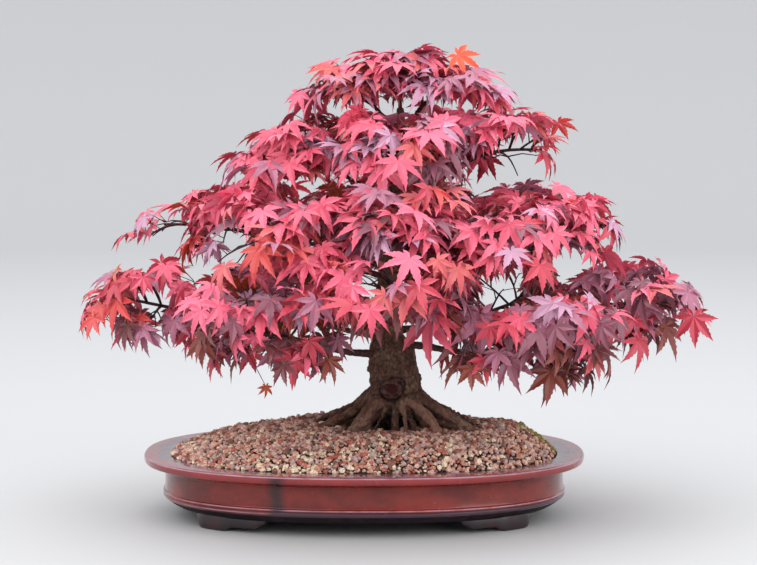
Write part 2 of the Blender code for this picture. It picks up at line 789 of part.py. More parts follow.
class Mass:
    """One mass of foliage: twigs branch in pairs from one stem and carry leaves in pairs."""

    def __init__(self, row, attempt, guard, collection):
        self.row = row
        self.space = Space(row)
        self.guard = guard
        self.collection = collection
        self.dice = random.Random(SEED + attempt + sum(map(ord, row.name)))
        self.taken = []
        self.hang = HANG_HIGH + HANG_LOW * max(0.0, HANG_HEIGHT - row.z) / HANG_HEIGHT

    def stem_start(self):
        """Tip of the bough, or of the trunk, and the way it points."""
        if self.row.bough_radius:
            points = bough_path(self.row)[0]
            ahead = (points[-1] - points[-2]).normalized()
            return points[-1] + ahead * GAP, ahead
        return trunk_at(TRUNK[-1].height)[0] + UP * GAP, UP.copy()

    def grow(self):
        """Grow stem, shoots and leaves; return the stem's mesh."""
        start, ahead = self.stem_start()
        outward = Vector((0, -1, 0))
        end = self.space.centre.copy()
        if self.row.bough_radius:
            outward = Vector((ahead.x, ahead.y, 0)).normalized()
            end += outward * self.row.half_x * STEM_PAST
        straight = start + ahead * STEM_STRAIGHT
        bend = straight + ahead * (end - straight).length * STEM_HANDLE
        points = [start] + curve_points(straight, bend, bend.lerp(end, 0.5), end, STEM_POINTS - 1)
        stem = twig_mesh(points, tapered(STEM_RADIUS, SHOOT_RADIUS, STEM_POINTS))
        self.taken.append(BVHTree.FromBMesh(stem))
        for shoot in [self.shoot(*row) for row in self.headings(points, outward)]:
            if shoot:
                self.dress(*shoot)
        return stem

    def headings(self, points, outward):
        """Start and heading of each shoot: opposite pairs along the stem, and one at its end."""
        rows = []
        for pair, spread in enumerate(SHOOT_SPREAD):
            for side in (-1, 1):
                angle = side * spread + self.either_way(SHOOT_TURN)
                lift = SHOOT_LIFT[pair] * side + self.either_way(SHOOT_WANDER)
                rows.append((points[2 + pair], turned(outward, angle) + UP * lift))
        rows.append((points[-1], outward + UP * self.either_way(SHOOT_WANDER)))
        if not self.row.bough_radius:
            rows.append((points[-1], -outward + UP * CREST_RISE))
            rows.append((points[-1], UP + outward * CREST_LEAN))
        return rows

    def either_way(self, most):
        """A random amount to either side of zero."""
        return self.dice.uniform(-most, most)

    def shoot(self, start, heading):
        """One arching shoot: its middle, end, direction and the place it takes."""
        direction = heading.normalized()
        room = self.space.reach(start, direction)
        length = max(room - LEAF_REACH * LEAF_SETBACK, room * SHOOT_LEAST)
        end = start + direction * length
        middle = start.lerp(end, 0.5) + UP * length * SHOOT_ARCH
        twig = twig_mesh([start, middle, end], tapered(SHOOT_RADIUS, TWIG_TIP_RADIUS, 3))
        if not self.space.holds([middle, end]) or not clear_of([self.guard], twig):
            twig.free()
            return None
        tree = BVHTree.FromBMesh(twig)
        self.taken.append(tree)
        add_object("twig", twig, self.collection)
        return middle, end, direction, tree

    def dress(self, middle, end, direction, tree):
        """An opposite pair of leaves on a shoot, and one at its end."""
        self.leaf(end - direction * LEAF_STAGGER, direction, 0, tree)
        for side in (-1, 1):
            place = middle + direction * LEAF_STAGGER * (2 + side)
            self.leaf(place, direction, side * LEAF_SPREAD, tree)

    def leaf(self, place, direction, spread, own):
        """One leaf on its stalk; several tries to find it room, else none."""
        for attempt in range(LEAF_TRIES):
            ease = attempt / LEAF_TRIES
            way = turned(direction, spread * (1 - SPREAD_EASE * ease) + self.either_way(LEAF_TURN))
            way.z = 0.0
            way.normalize()
            stalk = (way + UP * self.dice.uniform(*STALK_RISE)).normalized()
            length = STALK_LENGTH * (1 - STALK_EASE * ease)
            centre = place + stalk * length
            axis = (way - UP * self.dice.uniform(HANG_LEAST, self.hang)).normalized()
            normal = axis.cross(UP.cross(axis)).normalized()
            roll = Matrix.Rotation(math.radians(self.either_way(LEAF_ROLL)), 3, axis)
            reach = LEAF_REACH * self.dice.uniform(*LEAF_SIZES) * (1 - SIZE_EASE * ease)
            blade = leaf_mesh(place - stalk * STALK_SINK, centre, axis, roll @ normal, reach)
            others = [tree for tree in self.taken if tree is not own]
            inside = self.space.holds([vert.co for vert in blade.verts])
            if inside and clear_of([self.guard] + others, blade):
                self.taken.append(BVHTree.FromBMesh(blade))
                add_object("leaf", blade, self.collection)
                return
            blade.free()


def build_mass(row, guard, collection, material):
    """Grow one mass and fuse it into a single body; a growth that fuses badly is grown anew."""
    for attempt in range(GROWTHS):
        parts = bpy.data.collections.new("mass_parts")
        bpy.context.scene.collection.children.link(parts)
        mass = Mass(row, attempt, guard, parts)
        foliage = add_object("foliage_" + row.name, mass.grow(), collection, material)
        fuse(foliage, parts)
        if clean(foliage):
            return
        bpy.data.objects.remove(foliage, do_unlink=True)
    raise RuntimeError("no growth of " + row.name + " fused into one closed body")


def main():
    """Build every sub-part."""
    clear_scene()
    collection = bpy.data.collections.new(OBJECT_NAME)
    bpy.context.scene.collection.children.link(collection)
    build_pot(collection, make_material("oxblood_glaze", POT_RED, 0.2))
    build_soil(collection, make_material("gravel", GRAVEL, 0.9))
    build_trunk(collection, make_material("bark", BARK, 0.85))
    young = make_material("young_bark", YOUNG_BARK, 0.7)
    guard = limb_guard()
    for number, row in enumerate(MASSES):
        if row.bough_radius:
            build_bough(row, collection, young)
        tint = LEAF_TINTS[number % len(LEAF_TINTS)]
        build_mass(row, guard, collection, make_material("leaves_" + row.name, tint, 0.6))


main()
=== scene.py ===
"""Looks of a maple bonsai: bark, boughs, twigs, leaves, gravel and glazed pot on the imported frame.

Metres, +Z up, the front towards -Y. Run as a script in Blender 4.5.
"""
import itertools
import math
import random

import bmesh
import bpy
import numpy as np
from bpy.props import FloatProperty, FloatVectorProperty, IntProperty, PointerProperty
from bpy.types import Operator, Panel, PropertyGroup
from mathutils import Matrix, Vector, noise
from mathutils.bvhtree import BVHTree


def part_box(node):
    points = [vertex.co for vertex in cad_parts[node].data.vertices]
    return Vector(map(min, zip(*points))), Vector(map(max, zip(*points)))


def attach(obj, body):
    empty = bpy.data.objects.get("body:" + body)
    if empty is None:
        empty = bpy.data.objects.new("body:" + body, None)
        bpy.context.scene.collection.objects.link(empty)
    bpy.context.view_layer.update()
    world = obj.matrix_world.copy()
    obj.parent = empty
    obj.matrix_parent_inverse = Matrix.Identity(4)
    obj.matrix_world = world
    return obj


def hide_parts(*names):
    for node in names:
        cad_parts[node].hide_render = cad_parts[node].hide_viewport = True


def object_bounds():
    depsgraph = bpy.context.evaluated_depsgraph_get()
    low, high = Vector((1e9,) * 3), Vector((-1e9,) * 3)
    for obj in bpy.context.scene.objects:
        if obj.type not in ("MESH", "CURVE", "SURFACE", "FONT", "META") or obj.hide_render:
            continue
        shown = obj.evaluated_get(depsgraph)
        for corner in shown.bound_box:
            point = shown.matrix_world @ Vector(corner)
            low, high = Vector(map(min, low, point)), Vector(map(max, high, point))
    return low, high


bl_info = {
    "name": "Maple bonsai",
    "version": (1, 0, 0),
    "blender": (4, 5, 0),
    "location": "3D View > Sidebar > Bonsai",
    "description": "Builds the bark, twigs, leaves, gravel and glazed pot of a maple bonsai",
    "category": "Object",
}

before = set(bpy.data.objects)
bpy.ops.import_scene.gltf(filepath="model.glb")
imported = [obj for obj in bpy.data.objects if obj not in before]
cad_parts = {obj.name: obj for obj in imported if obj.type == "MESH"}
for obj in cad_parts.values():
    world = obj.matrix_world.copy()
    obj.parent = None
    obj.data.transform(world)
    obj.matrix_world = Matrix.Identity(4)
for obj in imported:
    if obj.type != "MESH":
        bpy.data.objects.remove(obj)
CAD_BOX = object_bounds()

UP = Vector((0, 0, 1))
# Edges that turn more than this stay crisp
CREASE = math.radians(35)
# Attribute that holds the bark's cracks with painted shade in the hollows, its wear with painted light on the
# roots, and the healed cut
BARK_TONE = "bark_tone"
BOUGHS = sorted(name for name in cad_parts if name.startswith("bough_"))
MASSES = sorted(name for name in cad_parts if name.startswith("foliage_"))
POT_LOW, POT_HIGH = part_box("pot")


def srgb(red, green, blue):
    """A colour as a painter reads it off a swatch, turned into scene values."""
    return tuple(((value / 255 + 0.055) / 1.055) ** 2.4 for value in (red, green, blue))


def size(name, description, default):
    """A length that the user may change."""
    return FloatProperty(
        name=name, description=description, default=default, min=0.0, unit="LENGTH", precision=5
    )


def position(name, description, default):
    """A place along an axis, to either side of the middle, that the user may change."""
    return FloatProperty(name=name, description=description, default=default, unit="LENGTH", precision=5)


def share(name, description, default):
    """A plain number that the user may change."""
    return FloatProperty(name=name, description=description, default=default)


def count(name, description, default):
    """A whole number that the user may change."""
    return IntProperty(name=name, description=description, default=default, min=0)


def paint(name, description, default):
    """A colour that the user may change."""
    return FloatVectorProperty(
        name=name, description=description, default=default, subtype="COLOR", size=3, min=0, max=1
    )


class PotSettings(PropertyGroup):
    """Sizes and glaze of the oval pot; its length, depth and height come from the frame."""

    sides: count("Sides", "Facets round the oval", 144)
    power: share("Oval power", "2 is an ellipse, more is squarer", 2.3)
    lip_width: size("Lip width", "Breadth of the flat lip", 0.029)
    lip_fall: size("Lip fall", "How much lower the lip's inner edge is", 0.0008)
    rim_band: size("Rim band", "Height of the lip's outer face", 0.0082)
    under_lip: size("Under lip", "Inset where the hollow under the lip starts", 0.0075)
    wall_inset: size("Wall inset", "From the rim in to the wall", 0.0215)
    wall_top: size("Wall top", "Height where the wall turns out to the lip", 0.0530)
    wall_thick: size("Wall thickness", "Thickness of the wall", 0.0085)
    belt_inset: size("Belt inset", "From the rim in to the belt", 0.0197)
    belt_top: size("Belt top", "Upper edge of the belt", 0.0292)
    belt_foot: size("Belt foot", "Lower edge of the belt", 0.0235)
    groove: size("Belt groove", "Depth of the groove along the belt", 0.0008)
    base_inset: size("Base inset", "From the rim in to the foot of the wall", 0.0350)
    base_under: size("Base", "Height of the underside", 0.0135)
    floor: size("Floor", "Height of the floor inside", 0.0225)
    glaze_thick: paint("Thick glaze", "Oxblood glaze where it lies thick", srgb(98, 16, 9))
    glaze_thin: paint("Thin glaze", "The same glaze where it ran thin", srgb(136, 34, 20))
    # Partly painted highlight: these pale lines on the lip and beads stand for light caught on the edges as
    # well as thin glaze
    glaze_edge: paint("Edges", "Pale glaze on the beads and the lip", srgb(196, 152, 166))
    glaze_lip: paint("Lip", "Mauve red glaze of the lip", srgb(150, 54, 60))
    glaze_inner: paint("Inner lip", "Dark slip towards the lip's inner edge", srgb(62, 42, 56))
    # Partly painted shade: below the belt this purple black also stands for the shade where the body curves
    # under
    glaze_dark: paint("Dark foot", "Purple black below the belt and on the feet", srgb(28, 15, 23))
    glaze_slip: paint("Low belt", "Purple glaze along the belt's lower bead", srgb(58, 34, 48))
    streak_x: position("Streak", "Place of the dark run on the front", -0.120)
    streak_width: size("Streak width", "Half-width of the dark run", 0.0105)


class FootSettings(PropertyGroup):
    """The four curled feet."""

    inner: size("Inner end", "From the pot's middle to a foot's inner end", 0.100)
    outer: size("Outer end", "From the pot's middle to a foot's outer end", 0.176)
    inset: size("Inset", "From the rim in to a foot's face", 0.0325)
    thick: size("Thickness", "From front to back of a foot", 0.022)
    slope: share("Slope", "How far the face falls back with height", 0.5)
    stations: count("Stations", "Cuts along a foot", 18)


class GravelSettings(PropertyGroup):
    """The stones on the heap of soil."""

    spacing: size("Spacing", "Distance between stones", 0.0042)
    radius: size("Radius", "Half-size of a usual stone", 0.0030)
    grit_spacing: size("Grit spacing", "Distance between the small stones", 0.0064)
    grit_radius: size("Grit radius", "Half-size of a small stone", 0.0018)
    seed: count("Seed", "Start of the random draws", 5)
    # Partly painted shade: the soil is kept dark to stand for the shadows between the stones
    bed: paint("Bed", "Damp soil between the stones", srgb(70, 50, 44))
    tan: paint("Tan", "Pinkish tan stone", srgb(228, 184, 164))
    terracotta: paint("Terracotta", "Fired clay stone", srgb(208, 148, 126))
    cream: paint("Cream", "Pale stone", srgb(246, 224, 194))
    mauve: paint("Mauve", "Grey mauve stone", srgb(198, 164, 162))
    brown: paint("Brown", "Dark stone", srgb(142, 102, 88))
    grey: paint("Grey", "Grey stone", srgb(188, 168, 156))
    rust: paint("Rust", "Red stone", srgb(192, 110, 94))
    moss: paint("Moss", "Stone with moss on it", srgb(136, 130, 62))


class BarkSettings(PropertyGroup):
    """Relief and colours of the bark."""

    voxel: size("Trunk voxel", "Grain of the trunk's mesh", 0.00104)
    bough_voxel: size("Bough voxel", "Grain of the boughs' mesh", 0.0010)
    crack: size("Cracks", "Depth of the cracks between the plates", 0.0013)
    bough_relief: size("Bough relief", "Depth of the creases on the boughs", 0.0006)
    # Also painted shade: this dark colours the hollows between the roots and the groove round the cut
    dark: paint("Cracks", "Bark in the cracks and hollows", srgb(34, 23, 20))
    brown: paint("Plates", "Bark on the plates", srgb(120, 80, 64))
    ridge: paint("Dry plates", "Plates that are dry and grey", srgb(152, 122, 102))
    # Partly painted light: this pale bark stands for light on the roots as well as wear
    pale: paint("Worn bark", "Bark worn pale on the roots", srgb(158, 116, 98))
    callus: paint("Callus", "Ring round the healed cut", srgb(108, 70, 62))
    heart: paint("Scar", "Wood of the healed cut", srgb(66, 22, 22))
    young: paint("Young bark", "Bark of the boughs", srgb(84, 52, 46))


class TwigSettings(PropertyGroup):
    """Twigs and leaf stalks."""

    stem_radius: size("Stem radius", "Where a mass's stem meets its bough", 0.0022)
    shoot_radius: size("Shoot radius", "Where a shoot leaves its stem", 0.0014)
    twig_radius: size("Twig radius", "Where a side twig leaves its shoot", 0.0010)
    tip_radius: size("Tip radius", "End of every twig", 0.0006)
    stalk_radius: size("Stalk radius", "Leaf stalk", 0.00045)
    stalk_length: size("Stalk length", "Leaf stalk of a usual leaf", 0.020)
    bark: paint("Twig bark", "Purple brown twigs", srgb(70, 34, 38))
    stalk: paint("Stalks", "Crimson leaf stalks", srgb(128, 40, 52))


class LeafSettings(PropertyGroup):
    """Size and tints of the leaves."""

    reach: size("Reach", "From the stalk to the tip of a usual leaf", 0.034)
    margin: size("Margin", "How far leaves may stand out of their mass's box", 0.022)
    above: size("Margin above", "How far they may stand out of it at the top", 0.034)
    below: size("Margin below", "How far they may hang out of it", 0.030)
    hang_low: size("Lowest margin", "How far the lowest leaves may hang out of it", 0.014)
    apart: size("Apart", "Least distance between two blades", 0.0115)
    seed: count("Seed", "Start of the random draws", 23)
    bright_pink: paint("Bright pink", "Leaf in full light", srgb(228, 100, 126))
    rose: paint("Rose", "Rose leaf", srgb(218, 84, 108))
    crimson: paint("Crimson", "Crimson leaf", srgb(192, 58, 76))
    salmon: paint("Salmon", "Salmon leaf", srgb(206, 92, 94))
    coral: paint("Coral", "Coral leaf", srgb(206, 72, 68))
    # Partly painted reflection: this dusty mauve also stands for sky light reflected off the leaves
    mauve: paint("Mauve", "Dusty mauve leaf", srgb(170, 102, 124))
    # Painted reflection: this pale grey tint stands for sky light reflected off the waxy leaves
    lilac: paint("Lilac", "Lilac grey leaf", srgb(188, 138, 162))
    plum: paint("Plum", "Plum leaf", srgb(132, 72, 88))
    # Partly painted shade: this dark tint is dealt low down, under the crown, where shade falls
    maroon: paint("Maroon", "Maroon leaf under the crown", srgb(112, 50, 52))
    scarlet: paint("Scarlet", "Scarlet leaf", srgb(204, 56, 52))
    flame: paint("Flame", "Flame red leaf", srgb(232, 78, 42))
    orange: paint("Orange", "Orange leaf", srgb(196, 82, 44))
    # Partly painted light: the two tints below are dealt deep inside, where they stand for light shining
    # through the leaves
    olive: paint("Olive", "Leaf that is turning, deep inside", srgb(146, 98, 50))
    rust: paint("Rust", "Rust leaf inside the crown", srgb(136, 60, 46))


class StageSettings(PropertyGroup):
    """Floor, lights and camera."""

    floor: paint("Floor", "Pale floor and backdrop", (0.50, 0.495, 0.485))
    lens: share("Lens", "Focal length in millimetres", 118.9)
    eye_x: position("Eye x", "Camera place along X", -0.0175)
    eye_y: position("Eye y", "Camera place along Y", -2.595)
    eye_z: position("Eye z", "Camera height", 0.4956)
    pitch: share("Pitch", "Degrees below the horizon", 5.57)


class BonsaiSettings(PropertyGroup):
    """All settings of the bonsai."""

    pot: PointerProperty(type=PotSettings)
    foot: PointerProperty(type=FootSettings)
    gravel: PointerProperty(type=GravelSettings)
    bark: PointerProperty(type=BarkSettings)
    twig: PointerProperty(type=TwigSettings)
    leaf: PointerProperty(type=LeafSettings)
    stage: PointerProperty(type=StageSettings)


# Materials


class Finish:
    """A material being put together: its shader and the pattern that feeds it."""

    def __init__(self, name, roughness, coat=0.0, coat_roughness=0.1, specular=0.5):
        self.material = bpy.data.materials.new(name)
        self.material.use_nodes = True
        self.tree = self.material.node_tree
        self.shader = self.tree.nodes["Principled BSDF"]
        self.shader.inputs["Roughness"].default_value = roughness
        self.shader.inputs["Coat Weight"].default_value = coat
        self.shader.inputs["Coat Roughness"].default_value = coat_roughness
        self.shader.inputs["Specular IOR Level"].default_value = specular

    def add(self, kind, inputs, **settings):
        """Add a node, set it up and feed its inputs with values or sockets."""
        node = self.tree.nodes.new(kind)
        for key, value in settings.items():
            setattr(node, key, value)
        for key, value in inputs.items():
            if isinstance(value, bpy.types.NodeSocket):
                self.tree.links.new(value, node.inputs[key])
            else:
                node.inputs[key].default_value = value
        return node

    def place(self):
        """Where a point lies on the piece."""
        return self.add("ShaderNodeTexCoord", {}).outputs["Object"]

    def axis(self, letter):
        """One coordinate of a point."""
        return self.add("ShaderNodeSeparateXYZ", {0: self.place()}).outputs[letter]

    def cloud(self, scale, detail=4.0, rough=0.55, stretch=(1, 1, 1)):
        """Noise over the piece, so many clouds to a metre, stretched along any axis."""
        where = self.add("ShaderNodeMapping", {"Vector": self.place(), "Scale": stretch}).outputs[0]
        settings = {"Vector": where, "Scale": scale, "Detail": detail, "Roughness": rough}
        return self.add("ShaderNodeTexNoise", settings).outputs["Fac"]

    def between(self, value, low, high, to_low=0.0, to_high=1.0):
        """A value eased from one range into another."""
        inputs = {"Value": value, "From Min": low, "From Max": high, "To Min": to_low, "To Max": to_high}
        return self.add("ShaderNodeMapRange", inputs, interpolation_type="SMOOTHSTEP").outputs[0]

    def maths(self, operation, first, second=0.0):
        """One sum."""
        return self.add("ShaderNodeMath", {0: first, 1: second}, operation=operation).outputs[0]

    def blend(self, factor, first, second):
        """Two colours mixed by a factor."""
        inputs = {0: factor, 6: self.as_colour(first), 7: self.as_colour(second)}
        return self.add("ShaderNodeMix", inputs, data_type="RGBA").outputs[2]

    def as_colour(self, value):
        """A colour with its alpha, or a socket as it is."""
        return value if isinstance(value, bpy.types.NodeSocket) else (*value, 1.0)

    def colour(self, value):
        """Set the base colour, plain or from a pattern."""
        if isinstance(value, bpy.types.NodeSocket):
            self.tree.links.new(value, self.shader.inputs["Base Color"])
        else:
            self.shader.inputs["Base Color"].default_value = (*value, 1.0)

    def rough(self, value):
        """Roughness from a pattern."""
        self.tree.links.new(value, self.shader.inputs["Roughness"])

    def bump(self, height, distance, strength=1.0):
        """Fine relief from a pattern."""
        inputs = {"Height": height, "Distance": distance, "Strength": strength}
        self.tree.links.new(self.add("ShaderNodeBump", inputs).outputs[0], self.shader.inputs["Normal"])


def lip_glaze(finish, pot, height, body):
    """The lip's mauve red over the body glaze, with dark slip on the inner half of its flat top."""
    rim_foot = POT_HIGH.z - pot.rim_band
    rim = finish.between(height, rim_foot, rim_foot + 0.001, 0.0, 0.5)
    body = finish.blend(rim, body, pot.glaze_lip)
    flat_top = finish.between(height, POT_HIGH.z - 0.0016, POT_HIGH.z - 0.0006)
    patchy = finish.between(finish.cloud(34, 3.0), 0.3, 0.7, -0.00012, 0.00012)
    inner_edge = POT_HIGH.z - pot.lip_fall
    inward = finish.between(finish.maths("ADD", height, patchy), inner_edge + 0.00062, inner_edge + 0.00028)
    return finish.blend(flat_top, body, finish.blend(inward, pot.glaze_lip, pot.glaze_inner))


def pale_edges_and_highlights(finish, pot, height):
    """Where the glaze thinned on the edges, with painted highlights along them: height and half-width of each
    line, in patches.
    """
    lines = (
        (POT_HIGH.z - 0.0012, 0.0012),
        (pot.belt_top - 0.0006, 0.0010),
        (pot.belt_foot + 0.0010, 0.0010),
    )
    edges = None
    for line, half in lines:
        off = finish.maths("ABSOLUTE", finish.maths("SUBTRACT", height, line))
        near = finish.between(off, 0.0, half, 0.62, 0.0)
        edges = near if edges is None else finish.maths("MAXIMUM", edges, near)
    return finish.maths("MULTIPLY", edges, finish.between(finish.cloud(60), 0.3, 0.6, 0.4, 1.0))


def dark_run(finish, pot, height):
    """The dark run down the front of the wall, wavering, from under the lip's edge."""
    wander = finish.between(finish.cloud(40, 2.0, 0.5, (0.2, 0.2, 1)), 0.3, 0.7, -0.003, 0.003)
    across = finish.maths("SUBTRACT", finish.maths("ADD", finish.axis("X"), wander), pot.streak_x)
    run = finish.between(finish.maths("ABSOLUTE", across), 0.0, pot.streak_width * 1.3, 0.85, 0.0)
    front = finish.between(finish.axis("Y"), -0.08, -0.11)
    side = finish.between(height, POT_HIGH.z - 0.0010, POT_HIGH.z - 0.0030)
    return finish.maths("MULTIPLY", finish.maths("MULTIPLY", run, front), side)


def low_belt_band(finish, pot, height):
    """The purple band along the belt's lower bead, strong to the right of the dark run."""
    band = finish.between(height, pot.belt_top - 0.0010, pot.belt_top - 0.0026, 0.0, 0.92)
    to_right = finish.between(finish.axis("X"), pot.streak_x - 0.01, pot.streak_x + 0.01, 0.15, 1.0)
    return finish.maths("MULTIPLY", band, to_right)


def glaze_finish(pot):
    """Oxblood glaze: mottled, pale on edges from thin glaze and painted highlights, nearly black below the
    belt with painted shade where it curves under, with one dark run.
    """
    finish = Finish("oxblood_glaze", 0.25, coat=0.55, coat_roughness=0.06, specular=0.30)
    height = finish.axis("Z")
    mottle = finish.between(finish.cloud(17, 5.0, 0.6, (1, 1, 1.6)), 0.36, 0.68)
    body = finish.blend(mottle, pot.glaze_thick, pot.glaze_thin)
    body = lip_glaze(finish, pot, height, body)
    # Thin glaze and painted highlight lines along the lip and the beads
    body = finish.blend(pale_edges_and_highlights(finish, pot, height), body, pot.glaze_edge)
    body = finish.blend(dark_run(finish, pot, height), body, pot.glaze_dark)
    body = finish.blend(low_belt_band(finish, pot, height), body, pot.glaze_slip)
    # Painted shade along with the foot's dark glaze: purple black below the belt, where the body curves under
    foot = finish.between(height, pot.belt_foot - 0.0005, pot.belt_foot - 0.0035)
    finish.colour(finish.blend(foot, body, pot.glaze_dark))
    finish.rough(finish.between(finish.cloud(90), 0.3, 0.7, 0.16, 0.28))
    finish.bump(finish.cloud(22, 2.0), 0.0012, 0.45)
    return finish.material


def darker(tint, part):
    """A colour at a part of its strength, for shaded or speckled places."""
    return tuple(value * part for value in tint)


def base_finish(pot):
    """The thin, dull glaze under the belt, purple black with a few paler flecks; the purple black is partly
    painted shade.
    """
    finish = Finish("base_glaze", 0.55, specular=0.12)
    flecks = tuple(value * 2.2 for value in pot.glaze_dark)
    finish.colour(finish.blend(finish.between(finish.cloud(70, 4.0), 0.45, 0.7), pot.glaze_dark, flecks))
    finish.bump(finish.cloud(160, 2.0), 0.0004, 0.4)
    return finish.material


def foot_finish(pot):
    """The feet's glaze: purple black with a little oxblood in it."""
    finish = Finish("foot_glaze", 0.35, coat=0.4, coat_roughness=0.15)
    body = finish.blend(finish.between(finish.cloud(80), 0.4, 0.65), pot.glaze_dark, pot.glaze_thick)
    finish.colour(finish.blend(0.75, body, pot.glaze_dark))
    finish.bump(finish.cloud(160), 0.0004, 0.5)
    return finish.material


def stone_finish(name, tint):
    """One tint of stone, slightly speckled."""
    finish = Finish("stone_" + name, 0.85, specular=0.3)
    speckle = finish.cloud(520, 3.0)
    finish.colour(finish.blend(finish.between(speckle, 0.38, 0.56), darker(tint, 0.62), tint))
    finish.bump(speckle, 0.0006, 0.6)
    return finish.material


def bed_and_shade_finish(gravel):
    """Grit under the stones, kept dark as painted shade between them."""
    finish = Finish("gravel_bed", 0.9, specular=0.2)
    grains = finish.cloud(330, 3.0)
    finish.colour(finish.blend(finish.between(grains, 0.4, 0.6), darker(gravel.bed, 0.4), gravel.bed))
    finish.bump(grains, 0.002)
    return finish.material


def bark_finish(bark):
    """Old bark: black cracks between brown plates, painted shade in the hollows, pale on the roots from wear
    and painted light, with a healed cut.
    """
    finish = Finish("old_bark", 0.8, specular=0.3)
    stored = finish.add("ShaderNodeAttribute", {}, attribute_name=BARK_TONE, attribute_type="GEOMETRY")
    tones = finish.add("ShaderNodeSeparateColor", {0: stored.outputs["Color"]}).outputs
    grain = finish.cloud(420, 4.0, 0.6, (1, 1, 0.6))
    patch = finish.between(finish.cloud(55, 3.0), 0.38, 0.64)
    plates = finish.blend(patch, bark.brown, bark.ridge)
    plates = finish.blend(finish.between(grain, 0.35, 0.65, 0.0, 0.55), plates, bark.dark)
    # Wear and painted light: the root strands go pale
    worn_and_lit = finish.maths("MULTIPLY", tones["Green"], finish.between(grain, 0.3, 0.6, 0.45, 1.0))
    body = finish.blend(worn_and_lit, plates, bark.pale)
    # Cracks, and painted shade in the hollows and the groove
    body = finish.blend(tones["Red"], body, bark.dark)
    heart = finish.between(tones["Blue"], 0.55, 0.95)
    callus = finish.between(tones["Blue"], 0.10, 0.40)
    ring = finish.blend(finish.between(finish.cloud(230, 3.0), 0.35, 0.65), bark.dark, bark.callus)
    body = finish.blend(callus, body, ring)
    finish.colour(finish.blend(heart, body, bark.heart))
    finish.rough(finish.between(grain, 0.3, 0.7, 0.92, 0.68))
    finish.bump(grain, 0.0005, 0.7)
    return finish.material


def young_bark_finish(name, tint, scale):
    """Smoother bark of boughs and twigs."""
    finish = Finish(name, 0.6, specular=0.4)
    patches = finish.between(finish.cloud(scale, 3.0), 0.35, 0.65)
    finish.colour(finish.blend(patches, darker(tint, 0.45), tint))
    return finish.material


def leaf_finish(name, tint):
    """One autumn tint, plain because each spray has its own, with a leaf's soft gloss."""
    finish = Finish("leaf_" + name, 0.40, specular=0.55)
    finish.shader.inputs["Sheen Weight"].default_value = 0.30
    finish.shader.inputs["Sheen Roughness"].default_value = 0.35
    finish.shader.inputs["Sheen Tint"].default_value = (0.92, 0.84, 1.0, 1.0)
    finish.colour(tint)
    return finish.material


# Shared shaping


def deselect():
    """Leave nothing selected, in object mode."""
    if bpy.context.mode != "OBJECT":
        bpy.ops.object.mode_set(mode="OBJECT")
    bpy.ops.object.select_all(action="DESELECT")


def pick(piece):
    """Make one piece the selected and active one."""
    deselect()
    piece.select_set(True)
    bpy.context.view_layer.objects.active = piece


def apply_modifier(piece, kind, **settings):
    """Add a modifier to a piece and apply it."""
    pick(piece)
    modifier = piece.modifiers.new(kind.lower(), kind)
    for key, value in settings.items():
        setattr(modifier, key, value)
    bpy.ops.object.modifier_apply(modifier=modifier.name)


def seat(piece, name, nodes=()):
    """Name a finished piece and tie it to the frame."""
    piece.name = name
    piece.data.name = name
    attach(piece, "root")
    if nodes:
        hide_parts(*nodes)
    return piece


def node_copy(node):
    """A merged copy of a CAD node's mesh, as a new object."""
    piece = bpy.data.objects.new(node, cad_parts[node].data.copy())
    piece.data.materials.clear()
    bpy.context.scene.collection.objects.link(piece)
    pick(piece)
    bpy.ops.object.mode_set(mode="EDIT")
    bpy.ops.mesh.select_all(action="SELECT")
    bpy.ops.mesh.remove_doubles(threshold=0.00001)
    bpy.ops.object.mode_set(mode="OBJECT")
    return piece


def corners(node):
    """A CAD node's corners, each once."""
    seen = {tuple(round(value, 6) for value in vert.co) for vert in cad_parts[node].data.vertices}
    return [Vector(corner) for corner in sorted(seen)]


def mean(points):
    """Middle of some points."""
    return sum(points, Vector()) / len(points)


def touch_tree(nodes):
    """CAD nodes as one tree for touch tests and rays."""
    verts = []
    faces = []
    for node in nodes:
        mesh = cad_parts[node].data
        first = len(verts)
        verts.extend(vert.co.copy() for vert in mesh.vertices)
        faces.extend([first + i for i in face.vertices] for face in mesh.polygons)
    return BVHTree.FromPolygons(verts, faces)


